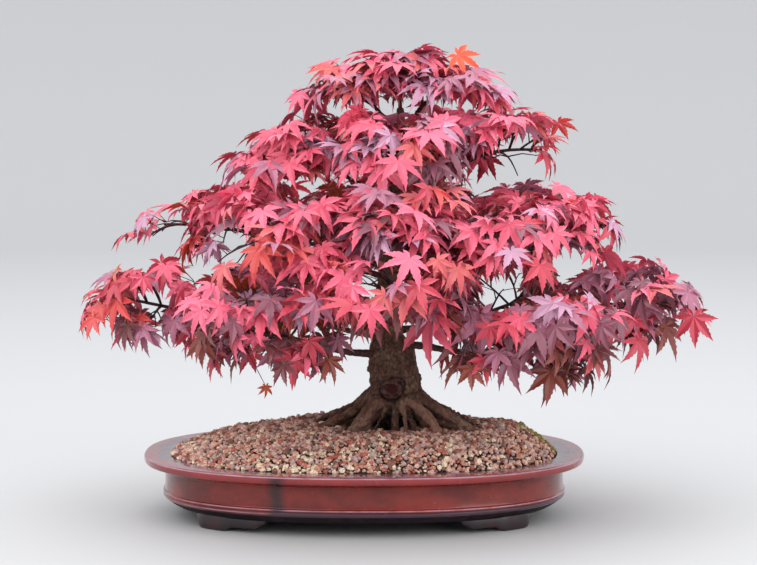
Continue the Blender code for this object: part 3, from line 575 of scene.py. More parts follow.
class Heap:
    """Many small things, joined into one mesh."""

    def __init__(self):
        self.verts = []
        self.faces = []
        self.tints = []

    def add(self, verts, faces, tint=0):
        """Add one thing in one tint."""
        first = len(self.verts)
        self.verts.extend(verts)
        self.faces.extend(tuple(first + i for i in face) for face in faces)
        self.tints.extend([tint] * len(faces))

    def tube(self, points, radii, sides, tint=0):
        """Add a closed, tapering tube along a path."""
        rings = []
        across = None
        last = len(points) - 1
        for i, point in enumerate(points):
            ahead = (points[min(i + 1, last)] - points[max(i - 1, 0)]).normalized()
            if across is None:
                across = ahead.orthogonal().normalized()
            across = (across - ahead * across.dot(ahead)).normalized()
            over = ahead.cross(across)
            for k in range(sides):
                angle = math.tau * k / sides
                rings.append(point + radii[i] * (math.cos(angle) * across + math.sin(angle) * over))
        faces = []
        for i in range(last):
            for k in range(sides):
                here = i * sides + k
                beside = i * sides + (k + 1) % sides
                faces.append((here, beside, beside + sides, here + sides))
        faces.append(tuple(reversed(range(sides))))
        faces.append(tuple(range(last * sides, (last + 1) * sides)))
        self.add(rings, faces, tint)

    def make(self, name, materials, smooth=True, sharp=None):
        """Turn the heap into an object."""
        mesh = bpy.data.meshes.new(name)
        mesh.from_pydata(self.verts, [], self.faces)
        for material in materials:
            mesh.materials.append(material)
        mesh.polygons.foreach_set("material_index", self.tints)
        mesh.polygons.foreach_set("use_smooth", [smooth] * len(self.faces))
        if sharp is not None:
            mesh.set_sharp_from_angle(angle=sharp)
        mesh.update()
        piece = bpy.data.objects.new(name, mesh)
        bpy.context.scene.collection.objects.link(piece)
        return piece


def curve_points(start, leave, arrive, end, number):
    """Points on a cubic curve."""
    points = []
    for i in range(number):
        t = i / (number - 1)
        s = 1 - t
        points.append(start * s ** 3 + leave * 3 * s * s * t + arrive * 3 * s * t * t + end * t ** 3)
    return points


def tapered(first, last, number):
    """Radii that fall evenly from the first to the last."""
    return [first + (last - first) * i / (number - 1) for i in range(number)]


def bearing(degrees):
    """Level unit vector for a bearing, counted from +X towards +Y."""
    angle = math.radians(degrees)
    return Vector((math.cos(angle), math.sin(angle), 0))


def ease(value, low, high):
    """0 below one value, 1 above another, smooth between; the values may be the other way round."""
    t = min(1.0, max(0.0, (value - low) / (high - low)))
    return t * t * (3 - 2 * t)


# Pot


def oval_point(pot, angle, inset, height):
    """One point of the pot's oval, moved in square to the outline."""
    half_x = (POT_HIGH.x - POT_LOW.x) / 2
    half_y = (POT_HIGH.y - POT_LOW.y) / 2
    c = math.cos(angle)
    s = math.sin(angle)
    x = math.copysign(abs(c) ** (2 / pot.power), c)
    y = math.copysign(abs(s) ** (2 / pot.power), s)
    slope_x = math.copysign(abs(x) ** (pot.power - 1), x) / half_x
    slope_y = math.copysign(abs(y) ** (pot.power - 1), y) / half_y
    out = Vector((slope_x, slope_y)).normalized()
    middle = (POT_HIGH.x + POT_LOW.x) / 2
    return Vector((middle + x * half_x - inset * out.x, y * half_y - inset * out.y, height))


def rounded(stations, steps=4):
    """An outline with each corner rounded by its own radius."""
    outline = []
    for i, (inset, height, radius) in enumerate(stations):
        here = Vector((inset, height))
        if not radius:
            outline.append(here)
            continue
        before = Vector(stations[i - 1][:2]) - here
        after = Vector(stations[i + 1][:2]) - here
        cut = min(radius, before.length * 0.45, after.length * 0.45)
        first = here + before.normalized() * cut
        final = here + after.normalized() * cut
        for step in range(steps + 1):
            t = step / steps
            outline.append(first * (1 - t) ** 2 + here * 2 * t * (1 - t) + final * t * t)
    return outline


def pot_outline(pot):
    """Inset, height and corner radius round the wall, from the underside over the lip to the floor."""
    top = POT_HIGH.z
    inner = pot.wall_inset + pot.wall_thick
    middle = (pot.belt_foot + pot.belt_top) / 2
    bead = pot.groove * 0.7
    return rounded((
        (pot.base_inset + 0.004, pot.base_under, 0.0),
        (pot.base_inset, pot.base_under, 0.002),
        (pot.base_inset - 0.0080, pot.base_under + 0.0045, 0.004),
        (pot.wall_inset, pot.belt_foot - 0.0010, 0.001),
        (pot.belt_inset, pot.belt_foot, 0.0012),
        (pot.belt_inset, middle - bead, 0.0012),
        (pot.belt_inset + pot.groove, middle, 0.0004),
        (pot.belt_inset, middle + bead, 0.0012),
        (pot.belt_inset, pot.belt_top, 0.0012),
        (pot.wall_inset, pot.belt_top + 0.0010, 0.001),
        (pot.wall_inset + 0.0006, (pot.belt_top + pot.wall_top) / 2, 0.008),
        (pot.wall_inset, pot.wall_top, 0.004),
        (pot.under_lip, top - pot.rim_band, 0.004),
        (0.0012, top - pot.rim_band, 0.0014),
        (0.0, top - pot.rim_band * 0.62, 0.0024),
        (0.0, top - 0.0016, 0.0018),
        (0.0016, top, 0.0016),
        (pot.lip_width - 0.001, top - pot.lip_fall, 0.0014),
        (inner, top - 0.0040, 0.003),
        (inner, pot.floor + 0.010, 0.004),
        (inner + 0.010, pot.floor, 0.0),
    ))


def extruded_oval(pot, outline):
    """A circle taken round the outline, ring by ring, and closed at both ends."""
    deselect()
    bpy.ops.mesh.primitive_circle_add(vertices=pot.sides, radius=1, fill_type="NOTHING")
    piece = bpy.context.object
    bpy.ops.object.mode_set(mode="EDIT")
    bm = bmesh.from_edit_mesh(piece.data)
    turn = bm.verts.layers.float.new("turn")
    for vert in bm.verts:
        vert[turn] = math.atan2(vert.co.y, vert.co.x)
    for step, (inset, height) in enumerate(outline):
        if step:
            bpy.ops.mesh.extrude_region_move()
            bm = bmesh.from_edit_mesh(piece.data)
            turn = bm.verts.layers.float["turn"]
        for vert in bm.verts:
            if vert.select:
                vert.co = oval_point(pot, vert[turn], inset, height)
        bmesh.update_edit_mesh(piece.data)
    bpy.ops.mesh.edge_face_add()
    bpy.ops.mesh.select_all(action="DESELECT")
    bm = bmesh.from_edit_mesh(piece.data)
    for edge in bm.edges:
        edge.select = len(edge.link_faces) == 1
    bpy.ops.mesh.edge_face_add()
    bpy.ops.mesh.select_all(action="SELECT")
    bpy.ops.mesh.normals_make_consistent(inside=False)
    bpy.ops.object.mode_set(mode="OBJECT")
    bpy.ops.object.shade_smooth_by_angle(angle=CREASE)
    return piece


class BONSAI_OT_pot(Operator):
    """Build the glazed wall, belt and lip of the pot."""

    bl_idname = "bonsai.pot"
    bl_label = "Build pot"

    def execute(self, context):
        pot = context.scene.bonsai.pot
        piece = extruded_oval(pot, pot_outline(pot))
        piece.data.materials.append(glaze_finish(pot))
        piece.data.materials.append(base_finish(pot))
        under_belt = pot.belt_foot - 0.0022
        for face in piece.data.polygons:
            if face.center.z < under_belt and face.normal.z < 0.5:
                face.material_index = 1
        seat(piece, "pot_wall", ["pot"])
        return {"FINISHED"}


# How high a foot's underside rises at its inner curl, its step and its outer curl
INNER_CURL = 0.0105
FOOT_STEP = 0.0048
OUTER_CURL = 0.0095
# How far a foot goes up into the base
FOOT_SUNK = 0.003
FOOT_BEVEL = {"width": 0.0016, "segments": 3, "limit_method": "ANGLE", "angle_limit": math.radians(40)}


def foot_underside(along):
    """Height of a foot's underside along its length: curled ends, a step and a flat sole."""
    inner_curl = INNER_CURL * (1 - ease(along, 0.0, 0.16))
    step = FOOT_STEP * (1 - ease(along, 0.36, 0.48))
    outer_curl = OUTER_CURL * ease(along, 0.80, 1.0)
    return max(inner_curl, step, outer_curl)


def oval_angle(pot, inset, x):
    """Angle on the oval where its inset line has a given distance from the middle."""
    middle_x = (POT_HIGH.x + POT_LOW.x) / 2
    low = 0.0
    high = math.pi / 2
    for _ in range(30):
        angle = (low + high) / 2
        if oval_point(pot, angle, inset, 0.0).x - middle_x > x:
            low = angle
        else:
            high = angle
    return low


def build_foot(pot, foot, side, front):
    """One foot: a square drawn out along the oval, station by station, then rounded."""
    inner = oval_angle(pot, foot.inset, foot.inner)
    outer = oval_angle(pot, foot.inset, foot.outer)
    top = pot.base_under + FOOT_SUNK
    middle_x = (POT_HIGH.x + POT_LOW.x) / 2
    deselect()
    bpy.ops.mesh.primitive_plane_add(size=1)
    piece = bpy.context.object
    bpy.ops.object.mode_set(mode="EDIT")
    for station in range(foot.stations + 1):
        if station:
            bpy.ops.mesh.extrude_region_move()
        along = station / foot.stations
        under = foot_underside(along)
        angle = inner + (outer - inner) * along
        bm = bmesh.from_edit_mesh(piece.data)
        bm.verts.ensure_lookup_table()
        ring = [vert for vert in bm.verts if vert.select]
        outside = oval_point(pot, angle, foot.inset + under * foot.slope, 0.0)
        inside = oval_point(pot, angle, foot.inset + foot.thick, 0.0)
        seats = ((outside, under), (inside, under), (outside, top), (inside, top))
        for vert, (point, height) in zip(ring, seats):
            vert.co = (middle_x + side * (point.x - middle_x), front * point.y, height)
        bmesh.update_edit_mesh(piece.data)
    bpy.ops.mesh.select_all(action="SELECT")
    bpy.ops.mesh.normals_make_consistent(inside=False)
    bpy.ops.object.mode_set(mode="OBJECT")
    apply_modifier(piece, "BEVEL", **FOOT_BEVEL)
    bpy.ops.object.shade_smooth_by_angle(angle=CREASE)
    return piece


class BONSAI_OT_feet(Operator):
    """Build the pot's four curled feet."""

    bl_idname = "bonsai.feet"
    bl_label = "Build feet"

    def execute(self, context):
        pot = context.scene.bonsai.pot
        foot = context.scene.bonsai.foot
        feet = join([build_foot(pot, foot, side, front) for side in (-1, 1) for front in (-1, 1)])
        feet.data.materials.append(foot_finish(pot))
        seat(feet, "pot_feet", ["pot"])
        return {"FINISHED"}


# Gravel


STONES = ("tan", "terracotta", "cream", "mauve", "brown", "grey", "rust", "moss")
STONE_VARIANTS = 9
# Sizes of stones as shares of the usual one, and how many there are of each
STONE_SIZES = (0.65, 0.85, 1.1, 1.4)
STONE_SIZE_WEIGHTS = (5, 6, 4, 1)
# How far a stone may tip, in radians, and how far it may lie above or below the others
STONE_TIP = 0.6
STONE_LIFT = 0.0007
# Rows of stones lie closer than stones in a row; each stone is moved by up to a share of their spacing
ROW_SHARE = 0.87
JITTER = 0.3
# A root that stands this high over the soil keeps stones off
ROOT_COVER = 0.004
# Middle of the mossy patch, at the right end
MOSS_X = 0.160
MOSS_Y = 0.015


def stone_shapes(dice):
    """A few angular stones of unit size, as corners and faces."""
    shapes = []
    for _ in range(STONE_VARIANTS):
        deselect()
        bpy.ops.mesh.primitive_ico_sphere_add(subdivisions=1, radius=1)
        stone = bpy.context.object
        bpy.ops.object.mode_set(mode="EDIT")
        squash = (dice.uniform(0.8, 1.2), dice.uniform(0.75, 1.0), dice.uniform(0.6, 0.9))
        bpy.ops.transform.resize(value=squash)
        bpy.ops.object.mode_set(mode="OBJECT")
        verts = [vert.co * dice.uniform(0.72, 1.18) for vert in stone.data.vertices]
        faces = [tuple(face.vertices) for face in stone.data.polygons]
        shapes.append((verts, faces))
        bpy.data.objects.remove(stone, do_unlink=True)
    return shapes


def scatter(spacing, dice):
    """Jittered places on the heap, from the soil's own surface, with the roots left free."""
    soil = touch_tree(["soil"])
    trunk = touch_tree(["trunk"])
    low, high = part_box("soil")
    rows = int((high.y - low.y) / (spacing * ROW_SHARE)) + 1
    columns = int((high.x - low.x) / spacing) + 1
    for row in range(rows):
        for column in range(columns):
            x = low.x + spacing * (column + 0.5 * (row % 2)) + dice.uniform(-JITTER, JITTER) * spacing
            y = low.y + spacing * ROW_SHARE * row + dice.uniform(-JITTER, JITTER) * spacing
            above = Vector((x, y, high.z + 0.2))
            ground, normal = soil.ray_cast(above, -UP)[:2]
            if ground is None or normal.z < 0.2:
                continue
            root = trunk.ray_cast(above, -UP)[0]
            if root is None or root.z < ground.z + ROOT_COVER:
                yield ground, normal


def stone_tint(place, dice):
    """Which stone lies at a place: mossy at the right end, pale in front, and dark stones by the roots and
    behind as painted shade.
    """
    moss = 1 - ease(math.hypot(place.x - MOSS_X, place.y - MOSS_Y), 0.015, 0.045)
    if dice.random() < 0.75 * moss:
        return STONES.index("moss")
    # Painted shade: dark stones are dealt more often by the roots and towards the back
    shade_by_roots = ease(math.hypot(place.x, place.y * 1.3), 0.120, 0.060)
    dark = max(shade_by_roots, 0.7 * ease(place.y, -0.03, 0.05))
    pale = ease(place.y, -0.085, -0.125) * ease(place.x, 0.02, -0.10)
    weights = (34, 18, 8 + 34 * pale, 11, 12 + 30 * dark, 7, 8)
    return dice.choices(range(len(weights)), weights=weights)[0]


class BONSAI_OT_gravel(Operator):
    """Finish the soil and lay the stones on it."""

    bl_idname = "bonsai.gravel"
    bl_label = "Lay gravel"

    def execute(self, context):
        gravel = context.scene.bonsai.gravel
        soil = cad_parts["soil"]
        soil.data.materials.clear()
        soil.data.materials.append(bed_and_shade_finish(gravel))
        dice = random.Random(gravel.seed)
        shapes = stone_shapes(dice)
        heap = Heap()
        layers = ((gravel.grit_spacing, gravel.grit_radius, 0.5), (gravel.spacing, gravel.radius, 0.45))
        for spacing, radius, proud in layers:
            for place, normal in scatter(spacing, dice):
                verts, faces = dice.choice(shapes)
                big = radius * dice.choices(STONE_SIZES, weights=STONE_SIZE_WEIGHTS)[0]
                big *= dice.uniform(0.85, 1.1)
                turn = Matrix.Rotation(dice.uniform(0, math.tau), 3, "Z")
                tip = Matrix.Rotation(dice.uniform(-STONE_TIP, STONE_TIP), 3, "X")
                tip = tip @ Matrix.Rotation(dice.uniform(-STONE_TIP, STONE_TIP), 3, "Y")
                lie = normal.to_track_quat("Z", "Y").to_matrix() @ turn @ tip
                centre = place + normal * (big * proud + dice.uniform(-STONE_LIFT, STONE_LIFT))
                heap.add([centre + lie @ (vert * big) for vert in verts], faces, stone_tint(place, dice))
        tints = [stone_finish(name, getattr(gravel, name)) for name in STONES]
        piece = heap.make("gravel", tints, smooth=False)
        seat(piece, "gravel_stones")
        return {"FINISHED"}


# Bark


# The healed cut: its middle and radius, then its swollen ring and the groove round it, each with its distance
# from the middle and its width as shares of the radius, and its height or depth
SCAR_PLACE = bearing(263) * 0.0290 + UP * 0.1345
SCAR_RADIUS = 0.0108
SCAR_RING = (0.80, 0.20, 0.0022)
SCAR_GROOVE = (1.22, 0.13, 0.0016)
SCAR_HEART_DEPTH = 0.0028
# Hollows between the roots: bearing and half-width in degrees, height of their middle and depth
HOLLOWS = (
    (180, 11, 0.098, 0.008),
    (214, 8, 0.099, 0.008),
    (250, 15, 0.102, 0.013),
    (282, 7, 0.099, 0.010),
    (311, 7, 0.098, 0.009),
    (341, 8, 0.098, 0.008),
    (14, 10, 0.098, 0.008),
    (53, 12, 0.099, 0.009),
    (97, 12, 0.099, 0.009),
    (141, 12, 0.099, 0.009),
)
# Half the height of every hollow
HOLLOW_HEIGHT = 0.018
# Knobs and stubs on the trunk: bearing in degrees, height, radius and how far they stand out
KNOBS = (
    (188, 0.152, 0.0050, 0.0024),
    (178, 0.166, 0.0045, 0.0022),
    (196, 0.141, 0.0060, 0.0022),
    (352, 0.176, 0.0075, 0.0034),
    (346, 0.158, 0.0050, 0.0020),
    (4, 0.143, 0.0060, 0.0022),
    (232, 0.170, 0.0060, 0.0018),
    (300, 0.162, 0.0065, 0.0018),
    (286, 0.184, 0.0060, 0.0016),
    (60, 0.160, 0.0070, 0.0026),
    (120, 0.148, 0.0070, 0.0024),
)
# Root strands on the front and the sides: first and last radius, how much wear and painted light they show,
# and points from the trunk down
STRANDS = (
    (0.0038, 0.0030, 0.8,
     (0.006, -0.030, 0.122), (0.008, -0.039, 0.112), (0.010, -0.048, 0.100), (0.011, -0.056, 0.0895)),
    (0.0070, 0.0046, 0.9,
     (0.014, -0.028, 0.124), (0.028, -0.044, 0.113), (0.039, -0.054, 0.103), (0.046, -0.060, 0.0890)),
    (0.0036, 0.0020, 1.0, (0.040, -0.054, 0.100), (0.049, -0.060, 0.096), (0.056, -0.065, 0.0900)),
    (0.0034, 0.0018, 1.0, (0.038, -0.054, 0.099), (0.041, -0.062, 0.095), (0.043, -0.069, 0.0900)),
    (0.0062, 0.0032, 0.35,
     (0.022, -0.020, 0.126), (0.046, -0.034, 0.112), (0.068, -0.041, 0.101), (0.088, -0.044, 0.0895)),
    (0.0060, 0.0030, 0.25,
     (0.024, -0.010, 0.124), (0.052, -0.020, 0.110), (0.078, -0.027, 0.100), (0.098, -0.030, 0.0895)),
    (0.0090, 0.0062, 0.30,
     (-0.018, -0.026, 0.120), (-0.030, -0.041, 0.108), (-0.039, -0.049, 0.099), (-0.045, -0.054, 0.0885)),
    (0.0064, 0.0032, 0.15,
     (-0.024, -0.010, 0.120), (-0.046, -0.018, 0.108), (-0.068, -0.023, 0.099), (-0.088, -0.027, 0.0895)),
    (0.0028, 0.0022, 0.50,
     (-0.010, -0.036, 0.116), (-0.015, -0.045, 0.106), (-0.020, -0.053, 0.098), (-0.022, -0.059, 0.0895)),
)
# Start of the strands' random draws and of the noise that the cracks wander by
BARK_SEED = 3
STRAND_STEPS = 14
STRAND_SIDES = 10
STRAND_WAVE = 0.0009
# Strands behind: bearing in degrees and reach
BACK_STRANDS = (
    (12, 0.090), (28, 0.076), (46, 0.070), (66, 0.068), (84, 0.072),
    (108, 0.066), (128, 0.074), (152, 0.086), (172, 0.092),
)
# Reach and height where each starts, then its course: share of its reach and height
BACK_START = (0.026, 0.122)
BACK_COURSE = ((0.5, 0.110), (0.78, 0.100), (1.0, 0.0893))
BACK_RADII = (0.0058, 0.0030)
# Height below which a root strand may show wear and painted light
WORN_AND_LIT_BELOW = 0.125
# Plates of bark to a metre along each axis of the trunk
TRUNK_PLATES = (175, 175, 115)
# On the roots: plates to a radian round the trunk, and to a metre outward and up
ROOT_PLATES = (13.0, 55, 60)
# Swellings under the bark: how many to a metre and how high
MUSCLES = ((48, 0.0011), (330, 0.0004))
# How far the bark lies over the plain trunk
BARK_PROUD = 0.0004


def strand_path(points, dice):
    """A root strand's path, smooth and slightly wavy."""
    path = []
    last = len(points) - 1
    for step in range(STRAND_STEPS + 1):
        along = last * step / STRAND_STEPS
        number = min(int(along), last - 1)
        t = along - number
        p0 = Vector(points[max(number - 1, 0)])
        p1 = Vector(points[number])
        p2 = Vector(points[number + 1])
        p3 = Vector(points[min(number + 2, last)])
        bend = 2 * p0 - 5 * p1 + 4 * p2 - p3
        twist = 3 * p1 - p0 - 3 * p2 + p3
        point = 0.5 * (2 * p1 + (p2 - p0) * t + bend * t * t + twist * t ** 3)
        wave = STRAND_WAVE * math.sin(math.pi * step / STRAND_STEPS)
        path.append(point + Vector((dice.uniform(-wave, wave), dice.uniform(-wave, wave), 0)))
    return path


def root_strands():
    """Every root strand as a path, its radii and how much wear and painted light it shows."""
    dice = random.Random(BARK_SEED)
    strands = []
    for first, last, worn_and_lit, *points in STRANDS:
        strands.append((strand_path(points, dice), tapered(first, last, STRAND_STEPS + 1), worn_and_lit))
    for angle, reach in BACK_STRANDS:
        turned = angle + dice.uniform(-4, 4)
        points = [bearing(turned) * BACK_START[0] + UP * BACK_START[1]]
        for share_out, height in BACK_COURSE:
            points.append(bearing(turned + dice.uniform(-5, 5)) * reach * share_out + UP * height)
        path = strand_path(points, dice)
        strands.append((path, tapered(*BACK_RADII, STRAND_STEPS + 1), dice.uniform(0.1, 0.5)))
    return strands


def crack_depth(point):
    """0 on a plate of bark, 1 in the crack round it; plates stand on the trunk and lie along the roots."""
    reach = math.hypot(point.x, point.y)
    out = ease(reach, 0.030, 0.044) * ease(point.z, 0.135, 0.118)
    wander = noise.noise_vector(point * 150) * 0.55
    upright = Vector([value * many for value, many in zip(point, TRUNK_PLATES)]) + wander
    polar = (math.atan2(point.y, point.x), reach, point.z)
    outward = Vector([value * many for value, many in zip(polar, ROOT_PLATES)]) + wander
    depth = 0.0
    for weight, where in ((1 - out, upright), (out, outward)):
        if weight > 0.01:
            near = noise.voronoi(where)[0]
            broad = 1 - ease(near[1] - near[0], 0.0, 0.26)
            near = noise.voronoi(where * 2.3)[0]
            fine = 1 - ease(near[1] - near[0], 0.0, 0.30)
            depth += weight * min(1.0, broad * 0.8 + fine * 0.35)
    return depth


def hollow_share(point):
    """How far the foot of the trunk is drawn in between two roots, and how much painted shade darkens it
    there.
    """
    turn = math.degrees(math.atan2(point.y, point.x)) % 360
    depth = 0.0
    dark = 0.0
    for centre, half, height, deep in HOLLOWS:
        off = abs((turn - centre + 180) % 360 - 180) / half
        rise = abs(point.z - height) / HOLLOW_HEIGHT
        here = (1 - ease(off, 0.35, 1.0)) * (1 - ease(rise, 0.3, 1.0))
        depth = max(depth, deep * here)
        dark = max(dark, here)
    return depth, dark


def knob_rise(point):
    """How far a knob lifts the bark at a point."""
    rise = 0.0
    for turned, height, radius, out in KNOBS:
        level = bearing(turned)
        across = abs(point.x * level.y - point.y * level.x)
        if point.x * level.x + point.y * level.y > 0:
            off = math.hypot(across, point.z - height) / radius
            rise = max(rise, out * (1 - ease(off, 0.2, 1.0)))
    return rise


def scar_shape(point):
    """Relief of the healed cut, its tone from 0 outside to 1 at its heart, and the groove round it."""
    off = (point - SCAR_PLACE).length / SCAR_RADIUS
    off *= 1 + 0.30 * noise.noise(point * 110)
    ring = math.exp(-((off - SCAR_RING[0]) / SCAR_RING[1]) ** 2)
    groove = math.exp(-((off - SCAR_GROOVE[0]) / SCAR_GROOVE[1]) ** 2)
    heart = 1 - ease(off, 0.38, 0.74)
    tone = max(0.45 * (1 - ease(off, 0.98, 1.12)), heart)
    relief = SCAR_RING[2] * ring - SCAR_HEART_DEPTH * heart - SCAR_GROOVE[2] * groove
    return relief, tone, groove


def strand_wear_and_light(point, balls):
    """How near a point is to a root strand, from 0 to 1, and how much wear and painted light it shows there.
    """
    near = 0.0
    worn_and_lit = 0.0
    if point.z < WORN_AND_LIT_BELOW:
        for centre, radius, amount in balls:
            closeness = 1 - ease((point - centre).length / radius, 0.9, 1.7)
            if closeness > near:
                near = closeness
                worn_and_lit = amount * closeness
    return near, worn_and_lit


def carve_trunk(piece, bark, strands):
    """Cut cracks, hollows and the healed cut into the trunk and note the tone of each place, with painted
    shade in the hollows and painted light on the roots.
    """
    mesh = piece.data
    tones = mesh.color_attributes.new(BARK_TONE, "FLOAT_COLOR", "POINT")
    balls = [(point, radius, worn_and_lit) for path, radii, worn_and_lit in strands for point, radius in zip(path, radii)]
    places = []
    for vert in mesh.vertices:
        point = vert.co
        scar, scar_tone, groove = scar_shape(point)
        crack = crack_depth(point) * (1 - min(1.0, scar_tone * 2))
        hollow, dark = hollow_share(point)
        muscle = sum(height * noise.noise(point * many) for many, height in MUSCLES)
        thin = 0.45 + 0.55 * ease(point.z, 0.32, 0.18)
        near, worn_and_lit = strand_wear_and_light(point, balls)
        dark *= 1 - 0.85 * near
        hollow *= 1 - 0.9 * near
        crack *= 1 - 0.35 * worn_and_lit
        depth = muscle + scar + knob_rise(point) - bark.crack * thin * crack - hollow + BARK_PROUD
        # Painted shade in the groove round the healed cut
        dark = max(dark, 0.7 * groove)
        places.append(point + vert.normal * depth)
        # Red: cracks and painted shade; green: wear and painted light; blue: the healed cut
        tones.data[vert.index].color = (min(1.0, 0.62 * crack + dark), worn_and_lit, scar_tone, 1.0)
    for vert, place in zip(mesh.vertices, places):
        vert.co = place
    mesh.update()


def carve(piece, relief, shape):
    """Move each vertex of a piece along its normal by a relief."""
    mesh = piece.data
    moved = [vert.co + vert.normal * shape(vert.co) * relief for vert in mesh.vertices]
    for vert, place in zip(mesh.vertices, moved):
        vert.co = place
    mesh.update()


def join(pieces):
    """Join some pieces into the first one."""
    deselect()
    for piece in pieces:
        piece.select_set(True)
    bpy.context.view_layer.objects.active = pieces[0]
    bpy.ops.object.join()
    return pieces[0]


class BONSAI_OT_trunk(Operator):
    """Give the trunk and its roots their bark."""

    bl_idname = "bonsai.trunk"
    bl_label = "Build trunk"

    def execute(self, context):
        bark = context.scene.bonsai.bark
        noise.seed_set(BARK_SEED)
        strands = root_strands()
        heap = Heap()
        for path, radii, _ in strands:
            heap.tube(path, radii, STRAND_SIDES)
        piece = join([node_copy("trunk"), heap.make("strands", [])])
        apply_modifier(piece, "REMESH", mode="VOXEL", voxel_size=bark.voxel)
        apply_modifier(piece, "SMOOTH", factor=0.6, iterations=4)
        carve_trunk(piece, bark, strands)
        apply_modifier(piece, "SMOOTH", factor=0.25, iterations=1)
        pick(piece)
        bpy.ops.object.shade_smooth()
        piece.data.materials.clear()
        piece.data.materials.append(bark_finish(bark))
        seat(piece, "trunk_bark", ["trunk"])
        return {"FINISHED"}


def bough_relief(point):
    """Creases and knots of a bough, as a share of their depth."""
    return noise.noise(point * 160) + 0.6 * noise.noise(point * 420)


class BONSAI_OT_boughs(Operator):
    """Give the boughs their bark."""

    bl_idname = "bonsai.boughs"
    bl_label = "Build boughs"

    def execute(self, context):
        bark = context.scene.bonsai.bark
        piece = join([node_copy(node) for node in BOUGHS])
        apply_modifier(piece, "REMESH", mode="VOXEL", voxel_size=bark.bough_voxel)
        apply_modifier(piece, "SMOOTH", factor=0.6, iterations=5)
        carve(piece, bark.bough_relief, bough_relief)
        pick(piece)
        bpy.ops.object.shade_smooth()
        piece.data.materials.append(young_bark_finish("bough_bark", bark.young, 240))
        seat(piece, "boughs_bark", BOUGHS)
        return {"FINISHED"}


# Leaves and twigs


STEM_POINTS = 8
# How far past a mass's middle its stem ends, as a share, and how long it keeps its bough's way
STEM_PAST = 0.45
STEM_HANDLE = 0.4
# Power of the rounded box that a mass keeps to: 2 is an egg, more is squarer
FULLNESS = 3.0
# How far past its room's own edge a mass may still set a leaf, as a share
ROOM_SLACK = 0.35
# For each pair of shoots along a stem: point that it leaves, spread in degrees and lift
SHOOT_PAIRS = (
    (1, 104, 0.95),
    (2, 92, -0.40),
    (3, 78, 0.40),
    (3, 64, -0.75),
    (4, 58, 0.90),
    (5, 48, -0.30),
    (6, 34, 0.50),
    (6, 20, -0.70),
)
# Outline of the leaves: height, reach to the left, to the right and in depth
OUTLINE = (
    (0.115, 0.150, 0.190, 0.150),
    (0.150, 0.225, 0.290, 0.205),
    (0.180, 0.335, 0.318, 0.230),
    (0.210, 0.340, 0.335, 0.242),
    (0.235, 0.325, 0.338, 0.244),
    (0.258, 0.306, 0.318, 0.238),
    (0.275, 0.298, 0.230, 0.226),
    (0.292, 0.290, 0.226, 0.216),
    (0.316, 0.266, 0.246, 0.200),
    (0.345, 0.208, 0.200, 0.176),
    (0.360, 0.186, 0.150, 0.160),
    (0.378, 0.166, 0.168, 0.148),
    (0.402, 0.144, 0.184, 0.134),
    (0.430, 0.116, 0.148, 0.112),
    (0.450, 0.102, 0.120, 0.092),
    (0.470, 0.090, 0.092, 0.072),
    (0.486, 0.062, 0.070, 0.052),
    (0.500, 0.030, 0.034, 0.030),
)
# How deeply the outline is dented, and how much more at the top
DENT = 0.20
TOP_DENT = 0.9
# Share of the outline that a point over the top of it counts as
BEYOND = 9.0
# How far single leaves keep inside the outline or stand out of it
RAGGED = (-0.40, 0.12)
# For each tier: how steeply its shoots rise, how far apart its leaves keep, and the share of both that grow
TIERS = {
    "low": (0.0, 1.0, 1.0),
    "mid": (0.10, 1.0, 1.0),
    "upper": (0.35, 1.05, 0.95),
    "top": (0.80, 1.25, 0.75),
    "crest": (0.95, 1.30, 0.70),
}
# Shares of a shoot's length: how high it arches and how far it strays
SHOOT_ARCH = 0.12
SHOOT_STRAY = 0.08
# Length from which a shoot carries side twigs
FORKED = 0.024
# Degrees between a shoot and its side twigs, its leaves, and the pair at its tip
TWIG_SPREAD = 46
LEAF_SPREAD = 62
TIP_SPREAD = 66
# How far a leaf's tip may pass the solids' box, below and above on each axis
PAST_LOW = Vector((0.018, 0.014, 0.0))
PAST_HIGH = Vector((0.012, 0.014, 0.004))
# How often a leaf looks for room before it is left out
LEAF_TRIES = 12
# How strongly leaves turn outward, and the crown's half-width and half-depth that this is measured by
OUTWARD_PULL = 0.55
CROWN_HALF = (0.34, 0.16)
# Side of the spacing grid's cells, as a share of the least distance between two blades
SPACING_CELL = 2.1
# Share of the leaves that hang with their faces out; the rest lie flatter, with drooping tips
HANGING_SHARE = 0.55
# Openings through the leaves, seen from the front: x, height and half-sizes
OPENINGS = (
    (-0.234, 0.290, 0.010, 0.009),
    (-0.170, 0.276, 0.011, 0.008),
    (-0.260, 0.264, 0.006, 0.007),
    (-0.206, 0.243, 0.006, 0.005),
    (-0.250, 0.212, 0.007, 0.009),
    (0.112, 0.225, 0.013, 0.010),
    (0.178, 0.252, 0.012, 0.008),
    (0.131, 0.365, 0.016, 0.012),
    (-0.026, 0.238, 0.008, 0.008),
)
# Leaf lobes: angle, length and half-width as shares of the leaf's reach
LOBES = (
    (-132, 0.38, 0.072),
    (-86, 0.70, 0.108),
    (-43, 0.93, 0.132),
    (0, 1.00, 0.140),
    (43, 0.93, 0.132),
    (86, 0.70, 0.108),
    (132, 0.38, 0.072),
)
# Edge of a lobe from its bay to its tip, notch and tooth by turns: shares of its length and half-width
LOBE_EDGE = ((0.47, 1.00), (0.52, 0.78), (0.61, 0.88), (0.66, 0.58), (0.76, 0.58), (0.80, 0.32))
# How far from the stalk the bays between the lobes reach in
BAY = 0.32
LEAF_VARIANTS = 14
# Folds of a leaf that turn more than this stay crisp
LEAF_CREASE = math.radians(18)
